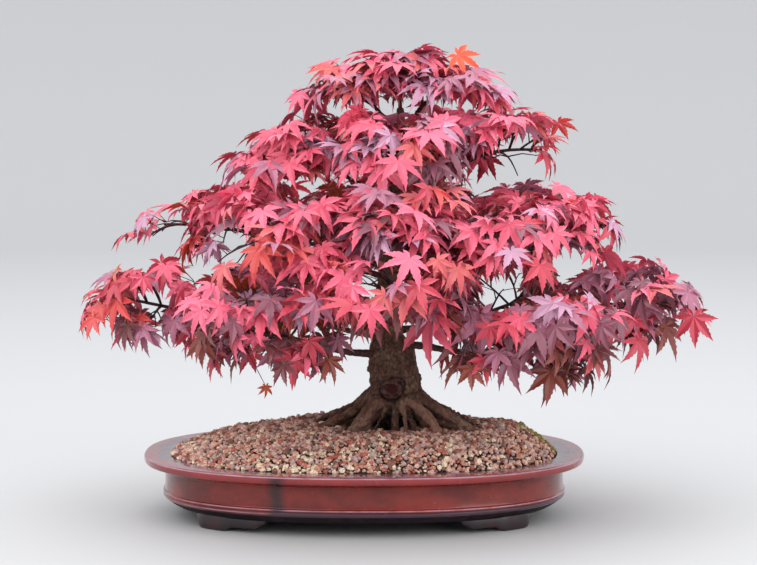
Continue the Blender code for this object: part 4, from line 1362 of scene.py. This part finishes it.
# Single leaves that show apart: tint, where the blade starts, way that it points, reach and roll in degrees
LONE_LEAVES = (
    ("flame", (0.0635, -0.020, 0.4790), (0.80, -0.20, -0.42), 0.031, 58),
    ("lilac", (0.1040, -0.020, 0.4430), (0.95, -0.15, -0.18), 0.032, 30),
    ("maroon", (0.1490, -0.120, 0.1690), (0.10, -0.12, -1.0), 0.042, 0),
    ("crimson", (0.3060, -0.045, 0.2120), (-0.04, -0.15, -1.0), 0.037, 0),
    ("rose", (0.0330, -0.165, 0.2240), (-0.16, -0.15, -1.0), 0.054, 0),
    ("maroon", (0.0560, -0.150, 0.2100), (0.20, -0.10, -1.0), 0.048, 0),
    ("mauve", (0.0820, -0.165, 0.2270), (0.05, -0.15, -1.0), 0.050, 0),
    ("maroon", (0.1180, -0.140, 0.1960), (0.05, -0.10, -1.0), 0.044, 0),
    ("crimson", (0.2480, -0.060, 0.1900), (0.10, -0.15, -1.0), 0.036, 0),
    ("rust", (-0.0980, -0.120, 0.1930), (-0.05, -0.15, -1.0), 0.044, 0),
    ("orange", (-0.1300, -0.120, 0.1500), (0.10, -0.15, -1.0), 0.014, 0),
    ("crimson", (-0.2080, -0.050, 0.2030), (-0.02, -0.15, -1.0), 0.036, 0),
    ("rose", (-0.3180, -0.010, 0.2200), (-0.60, -0.10, -0.90), 0.036, 0),
)
# How far behind a single leaf its stalk looks for a twig
LONE_STALK = 0.030
TINTS = (
    "bright_pink", "rose", "crimson", "salmon", "coral", "mauve", "lilac",
    "plum", "maroon", "scarlet", "flame", "orange", "olive", "rust",
)
# How often each tint is dealt to a spray, and what changes low down (darker tints, partly painted shade), at
# the top (brighter tints, painted light and reflection) and at the left
SPRAY_TINTS = {
    "bright_pink": 24, "rose": 24, "crimson": 14, "salmon": 12,
    "coral": 6, "mauve": 12, "lilac": 4, "plum": 3,
}
# Partly painted shade: more dark tints low down, under the crown
LOW_TINTS = {
    "bright_pink": 14, "rose": 18, "salmon": 5, "coral": 0,
    "mauve": 20, "plum": 12, "maroon": 9, "rust": 9,
}
# Painted light and reflection: brighter pinks and the pale sheen tint at the top
TOP_TINTS = {"bright_pink": 38, "rose": 20, "crimson": 5, "mauve": 12, "lilac": 10, "plum": 0}
LEFT_TINTS = {"coral": 16, "orange": 4, "scarlet": 8}
# Tints of single leaves deep inside the crown, partly painted light shining through the leaves, and under it,
# partly painted shade
INSIDE_GLOW_TINTS = ("olive", "rust", "coral", "scarlet", "orange")
UNDER_SHADE_TINTS = ("maroon", "plum", "mauve", "maroon", "rust", "crimson")


def leaf_shape(dice):
    """One leaf of unit reach: seven toothed, pointed lobes, creased at the ribs and drooping at the tips."""
    lobes = []
    for angle, long, half in LOBES:
        turned = math.radians(angle + dice.uniform(-5, 5))
        hang = dice.uniform(-0.08, 0.18)
        lobes.append((turned, long * dice.uniform(0.92, 1.06), half * dice.uniform(0.9, 1.15), hang))
    fold = dice.uniform(0.20, 0.50)
    droop = dice.uniform(0.02, 0.30)
    curl = dice.uniform(0.0, 0.35)
    verts = [(0.0, 0.0, 0.0)]
    faces = []

    def put(along, across, lobe):
        """Add a point of a lobe and return its number."""
        turned, _, _, hang = lobe
        x = along * math.cos(turned) - across * math.sin(turned)
        y = along * math.sin(turned) + across * math.cos(turned)
        far = math.hypot(x, y)
        z = fold * abs(across) - (droop + hang) * far * far - curl * max(0.0, far - 0.55) ** 2 * 2
        pull = 1 - 0.30 * (droop + hang) * far
        verts.append((x * pull, y * pull, z))
        return len(verts) - 1

    def bay(first, second):
        """Add the bottom of the bay between two lobes and return its number."""
        turned = (first[0] + second[0]) / 2
        deep = BAY * min(1.0, 0.45 + 0.6 * min(first[1], second[1]))
        verts.append((deep * math.cos(turned), deep * math.sin(turned), fold * 0.11 - droop * deep * deep))
        return len(verts) - 1

    bays = [put(0.10, -0.05, lobes[0])]
    for first, second in zip(lobes, lobes[1:]):
        bays.append(bay(first, second))
    bays.append(put(0.10, 0.05, lobes[-1]))
    for number, lobe in enumerate(lobes):
        long, half = lobe[1:3]
        rib_near = put(0.42 * long, 0.0, lobe)
        rib_far = put(0.66 * long, 0.0, lobe)
        tip = put(long, 0.0, lobe)
        for side, deepest in ((-1, bays[number]), (1, bays[number + 1])):
            edge = [put(along * long, side * across * half, lobe) for along, across in LOBE_EDGE]
            near = (0, rib_near, edge[0], deepest)
            middle = (rib_near, rib_far, edge[2], edge[1], edge[0])
            far = (rib_far, tip, edge[5], edge[4], edge[3], edge[2])
            for face in (near, middle, far):
                faces.append(face[::side])
    return np.array(verts), faces


def outline_share(point):
    """0 on the middle line of the leaves, 1 on their domed and dented outline."""
    for below, above in zip(OUTLINE, OUTLINE[1:]):
        if point.z <= above[0]:
            t = max(0.0, (point.z - below[0]) / (above[0] - below[0]))
            left, right, deep = (low + (high - low) * t for low, high in zip(below[1:], above[1:]))
            wide = left if point.x < 0 else right
            dents = 1 + (DENT + TOP_DENT * ease(point.z, 0.42, 0.48)) * noise.noise(point * 15)
            return ((abs(point.x) / wide) ** 2.2 + (abs(point.y) / deep) ** 2.2) / dents
    return BEYOND


class Room:
    """The space that one mass keeps to: its node's box with a margin, inside the outline."""

    def __init__(self, node, leaf):
        low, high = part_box(node)
        below = leaf.hang_low if node.endswith("_low") else leaf.below
        low = low - Vector((leaf.margin, leaf.margin, below))
        high = high + Vector((leaf.margin, leaf.margin, leaf.above))
        self.centre = (low + high) / 2
        self.half = (high - low) / 2

    def holds(self, point, slack=0.0, spare=0.0):
        """True where a point is in the room and the outline, or near enough to them."""
        shares = [abs(point[k] - self.centre[k]) / self.half[k] for k in range(3)]
        if sum(value ** FULLNESS for value in shares) > 1.0 + spare:
            return False
        return outline_share(point) <= 1.0 + slack

    def reach(self, start, direction):
        """Distance along a direction, from a point inside, to where the room ends."""
        near = 0.0
        far = 2 * max(self.half)
        for _ in range(14):
            middle = (near + far) / 2
            if self.holds(start + direction * middle):
                near = middle
            else:
                far = middle
        return near


def turned_about_up(direction, degrees):
    """A direction turned about the vertical."""
    return Matrix.Rotation(math.radians(degrees), 3, "Z") @ direction


class Growth:
    """Every mass grown by one rule: a stem, opposite pairs of shoots, side twigs and leaves."""

    def __init__(self, settings):
        self.twig = settings.twig
        self.leaf_settings = settings.leaf
        self.eye = Vector((settings.stage.eye_x, settings.stage.eye_y, settings.stage.eye_z))
        self.dice = random.Random(settings.leaf.seed)
        self.guard = touch_tree(["trunk"] + BOUGHS)
        self.shapes = [leaf_shape(self.dice) for _ in range(LEAF_VARIANTS)]
        self.twigs = Heap()
        self.stalks = Heap()
        self.blades = {}
        self.taken = {}
        self.low = CAD_BOX[0] - PAST_LOW
        self.high = CAD_BOX[1] + PAST_HIGH
        for row in LONE_LEAVES:
            self.claim(Vector(row[1]) + Vector(row[2]).normalized() * row[3] * 0.45)
        for node in MASSES:
            self.grow(node)
        self.lone_leaves()

    def stem_start(self, node, centre):
        """Tip of the bough that carries a mass, or of the trunk, and the way it points."""
        bough = node.replace("foliage_", "bough_")
        if bough in BOUGHS:
            ends = sorted(corners(bough), key=lambda corner: (corner - centre).length)
            tip = mean(ends[:6])
            return tip, (tip - mean(ends[6:12])).normalized()
        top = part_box("trunk")[1].z
        return mean([corner for corner in corners("trunk") if corner.z > top - 0.0005]), UP.copy()

    def grow(self, node):
        """Grow one mass."""
        room = Room(node, self.leaf_settings)
        start, ahead = self.stem_start(node, room.centre)
        tier = node.rsplit("_", 1)[-1]
        self.rise, self.spacing, self.share = TIERS[tier]
        self.heap = self.blades.setdefault(tier, Heap())
        self.room = room
        outward = Vector((room.centre.x, room.centre.y * 1.2, 0.0))
        crest = tier == "crest"
        outward = Vector((0, -1, 0)) if crest else outward.normalized()
        end = room.centre + outward * (0.0 if crest else room.half.x * STEM_PAST)
        bend = start + ahead * (end - start).length * STEM_HANDLE
        points = curve_points(start - ahead * 0.002, bend, bend.lerp(end, 0.5), end, STEM_POINTS)
        self.twigs.tube(points, tapered(self.twig.stem_radius, self.twig.shoot_radius, STEM_POINTS), 6)
        for place, spread, lift in SHOOT_PAIRS:
            for side in (-1, 1):
                angle = side * (spread + self.sway(9))
                heading = turned_about_up(outward, angle) + UP * (lift + self.rise + self.sway(0.25))
                if self.dice.random() < self.share:
                    self.shoot(points[place], heading)
        self.shoot(points[-1], outward + UP * self.sway(0.15))
        self.shoot(points[-2], UP + outward * 0.5)
        if crest:
            for angle in (60, 180, 300):
                self.shoot(points[-1], turned_about_up(outward, angle) + UP * 0.35)

    def sway(self, most):
        """A random amount to either side of zero."""
        return self.dice.uniform(-most, most)

    def shoot(self, start, heading):
        """One arching shoot with side twigs and leaves."""
        direction = heading.normalized()
        room = self.room.reach(start, direction) * self.dice.uniform(0.75, 1.0)
        length = max(room - self.leaf_settings.reach * 0.9, room * 0.35)
        end = start + direction * length
        rise = UP * length * SHOOT_ARCH
        bend = Vector((self.sway(1), self.sway(1), self.sway(1))) * length * SHOOT_STRAY
        points = curve_points(start, start.lerp(end, 0.3) + rise + bend, start.lerp(end, 0.7) + rise, end, 6)
        if self.guard.ray_cast(start + direction * 0.004, direction, length)[0]:
            return
        self.spray = self.pick_tint(end)
        grown = self.dress(end, direction)
        for place in (2, 4):
            for side in (-1, 1):
                if place == 2 and length > FORKED:
                    grown += self.side_twig(points[place], direction, side, length * 0.5)
                elif self.dice.random() < self.share:
                    grown += self.leaf(points[place], direction, side * LEAF_SPREAD)
        if grown:
            self.twigs.tube(points, tapered(self.twig.shoot_radius, self.twig.tip_radius, 6), 5)

    def side_twig(self, start, direction, side, length):
        """A short side twig that ends in leaves, and how many it has."""
        lift = UP * (self.sway(0.3) + 0.1 + 0.4 * self.rise)
        way = turned_about_up(direction, side * (TWIG_SPREAD + self.sway(8))) + lift
        end = start + way.normalized() * length
        if not self.room.holds(end) or self.guard.ray_cast(start, way, length)[0]:
            return 0
        grown = self.dress(end, way.normalized())
        if grown:
            middle = start.lerp(end, 0.5) + UP * length * 0.08
            self.twigs.tube([start, middle, end], tapered(self.twig.twig_radius, self.twig.tip_radius, 3), 4)
        return grown

    def dress(self, end, direction):
        """An opposite pair of leaves at a tip and one beyond it, and how many of them found room."""
        grown = self.leaf(end, direction, 0)
        for side in (-1, 1):
            grown += self.leaf(end - direction * 0.002, direction, side * TIP_SPREAD)
        return grown

    def leaf(self, place, direction, spread):
        """One leaf on its stalk; several tries to find it room, else none. Gives the number set."""
        low = ease(place.z, 0.30, 0.18)
        high = ease(place.z, 0.39, 0.45)
        hanging = self.dice.random() < HANGING_SHARE + 0.35 * low - 0.35 * high
        drops = (0.5 + 0.5 * low, 1.5 + 1.6 * low) if hanging else (-0.15, 0.55)
        roll = 42 if hanging else 30
        slack = self.dice.uniform(*RAGGED)
        outward = Vector((place.x / CROWN_HALF[0], place.y / CROWN_HALF[1], 0.0)) * OUTWARD_PULL
        for attempt in range(LEAF_TRIES):
            give = attempt / LEAF_TRIES
            way = turned_about_up(direction, spread * (1 - 0.4 * give) + self.sway(30))
            way.z = 0.0
            way = (way.normalized() + outward).normalized()
            stalk = (way + UP * self.dice.uniform(-0.1, 0.8)).normalized()
            long = self.twig.stalk_length * self.dice.uniform(0.7, 1.3) * (1 - 0.5 * give)
            centre = place + stalk * long
            axis = (way - UP * self.dice.uniform(*drops)).normalized()
            normal = self.face_of(axis, self.sway(roll))
            reach = self.leaf_settings.reach * self.dice.uniform(0.75, 1.20) * (1 - 0.15 * give)
            if self.fits(centre, axis, normal, reach, slack):
                self.set_leaf(place, centre, way, axis, normal, reach, self.leaf_tint(centre))
                return 1
        return 0

    def face_of(self, axis, roll):
        """The way that a blade's face looks: up or outward, then rolled by some degrees."""
        normal = axis.cross(UP.cross(axis)).normalized()
        return Matrix.Rotation(math.radians(roll), 3, axis) @ normal

    def fits(self, centre, axis, normal, reach, slack):
        """True where a blade is in its room and the outline, clear of limbs, openings and other blades."""
        side = normal.cross(axis)
        tips = [centre + reach * (0.9 * axis - 0.35 * normal)]
        tips.append(centre + reach * (0.5 * axis + 0.6 * side - 0.3 * normal))
        tips.append(centre + reach * (0.5 * axis - 0.6 * side - 0.3 * normal))
        for tip in tips + [centre]:
            if not self.room.holds(tip, slack, ROOM_SLACK):
                return False
            if any(tip[k] < self.low[k] or tip[k] > self.high[k] for k in range(3)):
                return False
        middle = centre + axis * reach * 0.45
        if self.guard.find_nearest(middle)[3] < reach * 0.35:
            return False
        for point in tips + [centre, middle]:
            if self.in_opening(point, 0.25 * reach):
                return False
        if self.crowded(middle):
            return False
        self.claim(middle)
        return True

    def cell(self, point):
        """The cell of the spacing grid that a point is in."""
        side = self.leaf_settings.apart * SPACING_CELL
        return tuple(int(value // side) for value in point)

    def claim(self, middle):
        """Keep other blades away from a blade's middle."""
        self.taken.setdefault(self.cell(middle), []).append(middle)

    def crowded(self, middle):
        """True where another blade is too near; they keep further apart towards the outline."""
        loose = 0.85 + 0.65 * ease(outline_share(middle), 0.45, 1.0)
        apart = self.leaf_settings.apart * self.spacing * loose
        x, y, z = self.cell(middle)
        for step in itertools.product((-1, 0, 1), repeat=3):
            for other in self.taken.get((x + step[0], y + step[1], z + step[2]), ()):
                if (other - middle).length < apart:
                    return True
        return False

    def in_opening(self, point, margin):
        """True where a point would cover an opening, seen from the front."""
        along = -self.eye.y / (point.y - self.eye.y)
        seen = self.eye + (point - self.eye) * along
        for x, z, half_x, half_z in OPENINGS:
            if math.hypot((seen.x - x) / (half_x + margin), (seen.z - z) / (half_z + margin)) < 1.0:
                return True
        return False

    def set_leaf(self, place, centre, way, axis, normal, reach, tint):
        """Add a blade and its stalk."""
        shape, faces = self.dice.choice(self.shapes)
        side = normal.cross(axis)
        basis = np.array((axis, side, normal)) * reach
        blade = shape @ basis + np.array(centre)
        self.heap.add([tuple(corner) for corner in blade], faces, tint)
        bend = place.lerp(centre, 0.6) + way * 0.002 + UP * 0.002
        radius = self.twig.stalk_radius
        points = curve_points(place, place.lerp(bend, 0.6), bend, centre, 4)
        self.stalks.tube(points, [radius * 1.3, radius, radius, radius * 0.8], 3)

    def lone_leaves(self):
        """Set the single leaves that show apart, each on a stalk from the nearest twig."""
        twigs = [Vector(corner) for corner in self.twigs.verts]
        for tint, place, way, reach, roll in LONE_LEAVES:
            centre = Vector(place)
            axis = Vector(way).normalized()
            root = centre - axis * LONE_STALK
            root = min(twigs, key=lambda corner: (corner - root).length)
            self.heap = self.blades["low" if centre.z < 0.25 else "crest"]
            normal = self.face_of(axis, roll + self.sway(10))
            self.set_leaf(root, centre, axis * 0.5, axis, normal, reach, TINTS.index(tint))

    def pick_tint(self, place):
        """The tint of a spray, by where it grows: darker low down, partly as painted shade, and brighter at
        the top as painted light.
        """
        weights = dict(SPRAY_TINTS)
        if place.z < 0.235:
            weights.update(LOW_TINTS)
        if place.z > 0.37:
            weights.update(TOP_TINTS)
        if place.x < -0.20:
            weights.update(LEFT_TINTS)
        return self.dice.choices(list(weights), weights=list(weights.values()))[0]

    def leaf_tint(self, centre):
        """The tint of one leaf: its spray's, or now and then a near one; deep inside a warm one, partly
        painted light, low down a dark one, partly painted shade.
        """
        name = self.spray
        chance = self.dice.random()
        if chance < 0.28:
            name = self.pick_tint(centre)
        # Partly painted light: warm bright tints deep inside stand for light shining through the leaves
        further = Vector((centre.x * 1.4, centre.y * 1.4, centre.z + 0.05))
        if chance > 0.66 and outline_share(further) < 1.0:
            name = self.dice.choice(INSIDE_GLOW_TINTS)
        # Partly painted shade: dark tints for the leaves low under the crown
        if centre.z < 0.205 and chance > 0.30:
            name = self.dice.choice(UNDER_SHADE_TINTS)
        return TINTS.index(name)


class BONSAI_OT_leaves(Operator):
    """Grow the twigs, leaf stalks and leaves on from the boughs."""

    bl_idname = "bonsai.leaves"
    bl_label = "Grow leaves and twigs"

    def execute(self, context):
        settings = context.scene.bonsai
        growth = Growth(settings)
        twigs = growth.twigs.make("twigs", [young_bark_finish("twig_bark", settings.twig.bark, 500)])
        seat(twigs, "crown_twigs", MASSES)
        stalks = growth.stalks.make("stalks", [young_bark_finish("stalk_skin", settings.twig.stalk, 700)])
        seat(stalks, "crown_stalks", MASSES)
        finishes = [leaf_finish(name, getattr(settings.leaf, name)) for name in TINTS]
        for tier, heap in sorted(growth.blades.items()):
            leaves = heap.make("leaves", finishes, sharp=LEAF_CREASE)
            nodes = [node for node in MASSES if node.endswith(tier)]
            seat(leaves, "leaves_" + tier, nodes)
        return {"FINISHED"}


# Stage


# The floor is a wide bowl: a flat disc whose edge curves up, in steps
FLOOR_RADIUS = 3.4
CURVE_RADIUS = 1.3
CURVE_STEPS = 10
# Soft round lights: name, place, point that they face, width, power and colour
LIGHTS = (
    ("key", (-1.5, -1.9, 2.3), (0, 0, 0.25), 2.8, 34, (1.0, 0.98, 0.95)),
    ("top", (0.2, 0.1, 2.6), (0, 0, 0.2), 3.4, 36, (0.96, 0.98, 1.0)),
    ("fill", (2.1, -1.9, 1.0), (0, 0, 0.2), 2.6, 30, (1.0, 0.98, 0.96)),
)
AROUND_COLOUR = (0.90, 0.93, 1.0, 1.0)
AROUND_STRENGTH = 1.35
# Distance beyond which the camera sees nothing
FAR = 50


def build_floor(tint):
    """A disc whose edge is extruded outward and up, ring by ring, into a smooth bowl."""
    deselect()
    bpy.ops.mesh.primitive_circle_add(vertices=96, radius=FLOOR_RADIUS, fill_type="NGON")
    floor = bpy.context.object
    bpy.ops.object.mode_set(mode="EDIT")
    bpy.ops.mesh.select_all(action="SELECT")
    out = 0.0
    up = 0.0
    for step in range(1, CURVE_STEPS + 1):
        turned = math.radians(90) * step / CURVE_STEPS
        further = CURVE_RADIUS * math.sin(turned)
        higher = CURVE_RADIUS * (1 - math.cos(turned))
        grown = (FLOOR_RADIUS + further) / (FLOOR_RADIUS + out)
        bpy.ops.mesh.extrude_region_move(TRANSFORM_OT_translate={"value": (0, 0, higher - up)})
        bpy.ops.transform.resize(value=(grown, grown, 1), center_override=(0, 0, 0))
        out = further
        up = higher
    bpy.ops.mesh.delete(type="ONLY_FACE")
    bpy.ops.object.mode_set(mode="OBJECT")
    bpy.ops.object.shade_smooth()
    floor.name = "floor"
    finish = Finish("pale_floor", 0.7, specular=0.2)
    finish.colour(tint)
    floor.data.materials.append(finish.material)


def add_light(name, place, target, width, power, colour):
    """One soft area light, aimed at a point."""
    light = bpy.data.lights.new(name, "AREA")
    light.shape = "DISK"
    light.size = width
    light.energy = power
    light.color = colour
    lamp = bpy.data.objects.new(name, light)
    lamp.location = place
    lamp.rotation_euler = (Vector(target) - Vector(place)).to_track_quat("-Z", "Y").to_euler()
    bpy.context.scene.collection.objects.link(lamp)


class BONSAI_OT_stage(Operator):
    """Set out the floor, the lights and the camera."""

    bl_idname = "bonsai.stage"
    bl_label = "Set stage"

    def execute(self, context):
        stage = context.scene.bonsai.stage
        build_floor(stage.floor)
        for light in LIGHTS:
            add_light(*light)
        world = bpy.data.worlds.new("studio")
        world.use_nodes = True
        around = world.node_tree.nodes["Background"].inputs
        around["Color"].default_value = AROUND_COLOUR
        around["Strength"].default_value = AROUND_STRENGTH
        context.scene.world = world
        context.scene.view_settings.view_transform = "Standard"
        camera = bpy.data.cameras.new("camera")
        camera.lens = stage.lens
        camera.clip_end = FAR
        eye = bpy.data.objects.new("camera", camera)
        eye.location = (stage.eye_x, stage.eye_y, stage.eye_z)
        eye.rotation_euler = (math.radians(90 - stage.pitch), 0, 0)
        context.scene.collection.objects.link(eye)
        context.scene.camera = eye
        return {"FINISHED"}


class BONSAI_PT_panel(Panel):
    """Lists the bonsai's building steps and settings."""

    bl_label = "Maple bonsai"
    bl_idname = "BONSAI_PT_panel"
    bl_space_type = "VIEW_3D"
    bl_region_type = "UI"
    bl_category = "Bonsai"

    def draw(self, context):
        settings = context.scene.bonsai
        for operator in STEPS:
            self.layout.operator(operator.bl_idname)
        for name in BonsaiSettings.__annotations__:
            group = getattr(settings, name)
            box = self.layout.box()
            for key in group.__annotations__:
                box.prop(group, key)


STEPS = (
    BONSAI_OT_pot,
    BONSAI_OT_feet,
    BONSAI_OT_gravel,
    BONSAI_OT_trunk,
    BONSAI_OT_boughs,
    BONSAI_OT_leaves,
    BONSAI_OT_stage,
)
GROUPS = (
    PotSettings,
    FootSettings,
    GravelSettings,
    BarkSettings,
    TwigSettings,
    LeafSettings,
    StageSettings,
    BonsaiSettings,
)


def register():
    """Register every class and hang the settings on the scene."""
    for item in GROUPS + STEPS + (BONSAI_PT_panel,):
        bpy.utils.register_class(item)
    bpy.types.Scene.bonsai = PointerProperty(type=BonsaiSettings)


def unregister():
    """Take the settings and every class away again."""
    del bpy.types.Scene.bonsai
    for item in reversed(GROUPS + STEPS + (BONSAI_PT_panel,)):
        bpy.utils.unregister_class(item)


def main():
    """Build every piece."""
    register()
    bpy.ops.bonsai.pot()
    bpy.ops.bonsai.feet()
    bpy.ops.bonsai.gravel()
    bpy.ops.bonsai.trunk()
    bpy.ops.bonsai.boughs()
    bpy.ops.bonsai.leaves()
    bpy.ops.bonsai.stage()


if __name__ == "__main__":
    main()
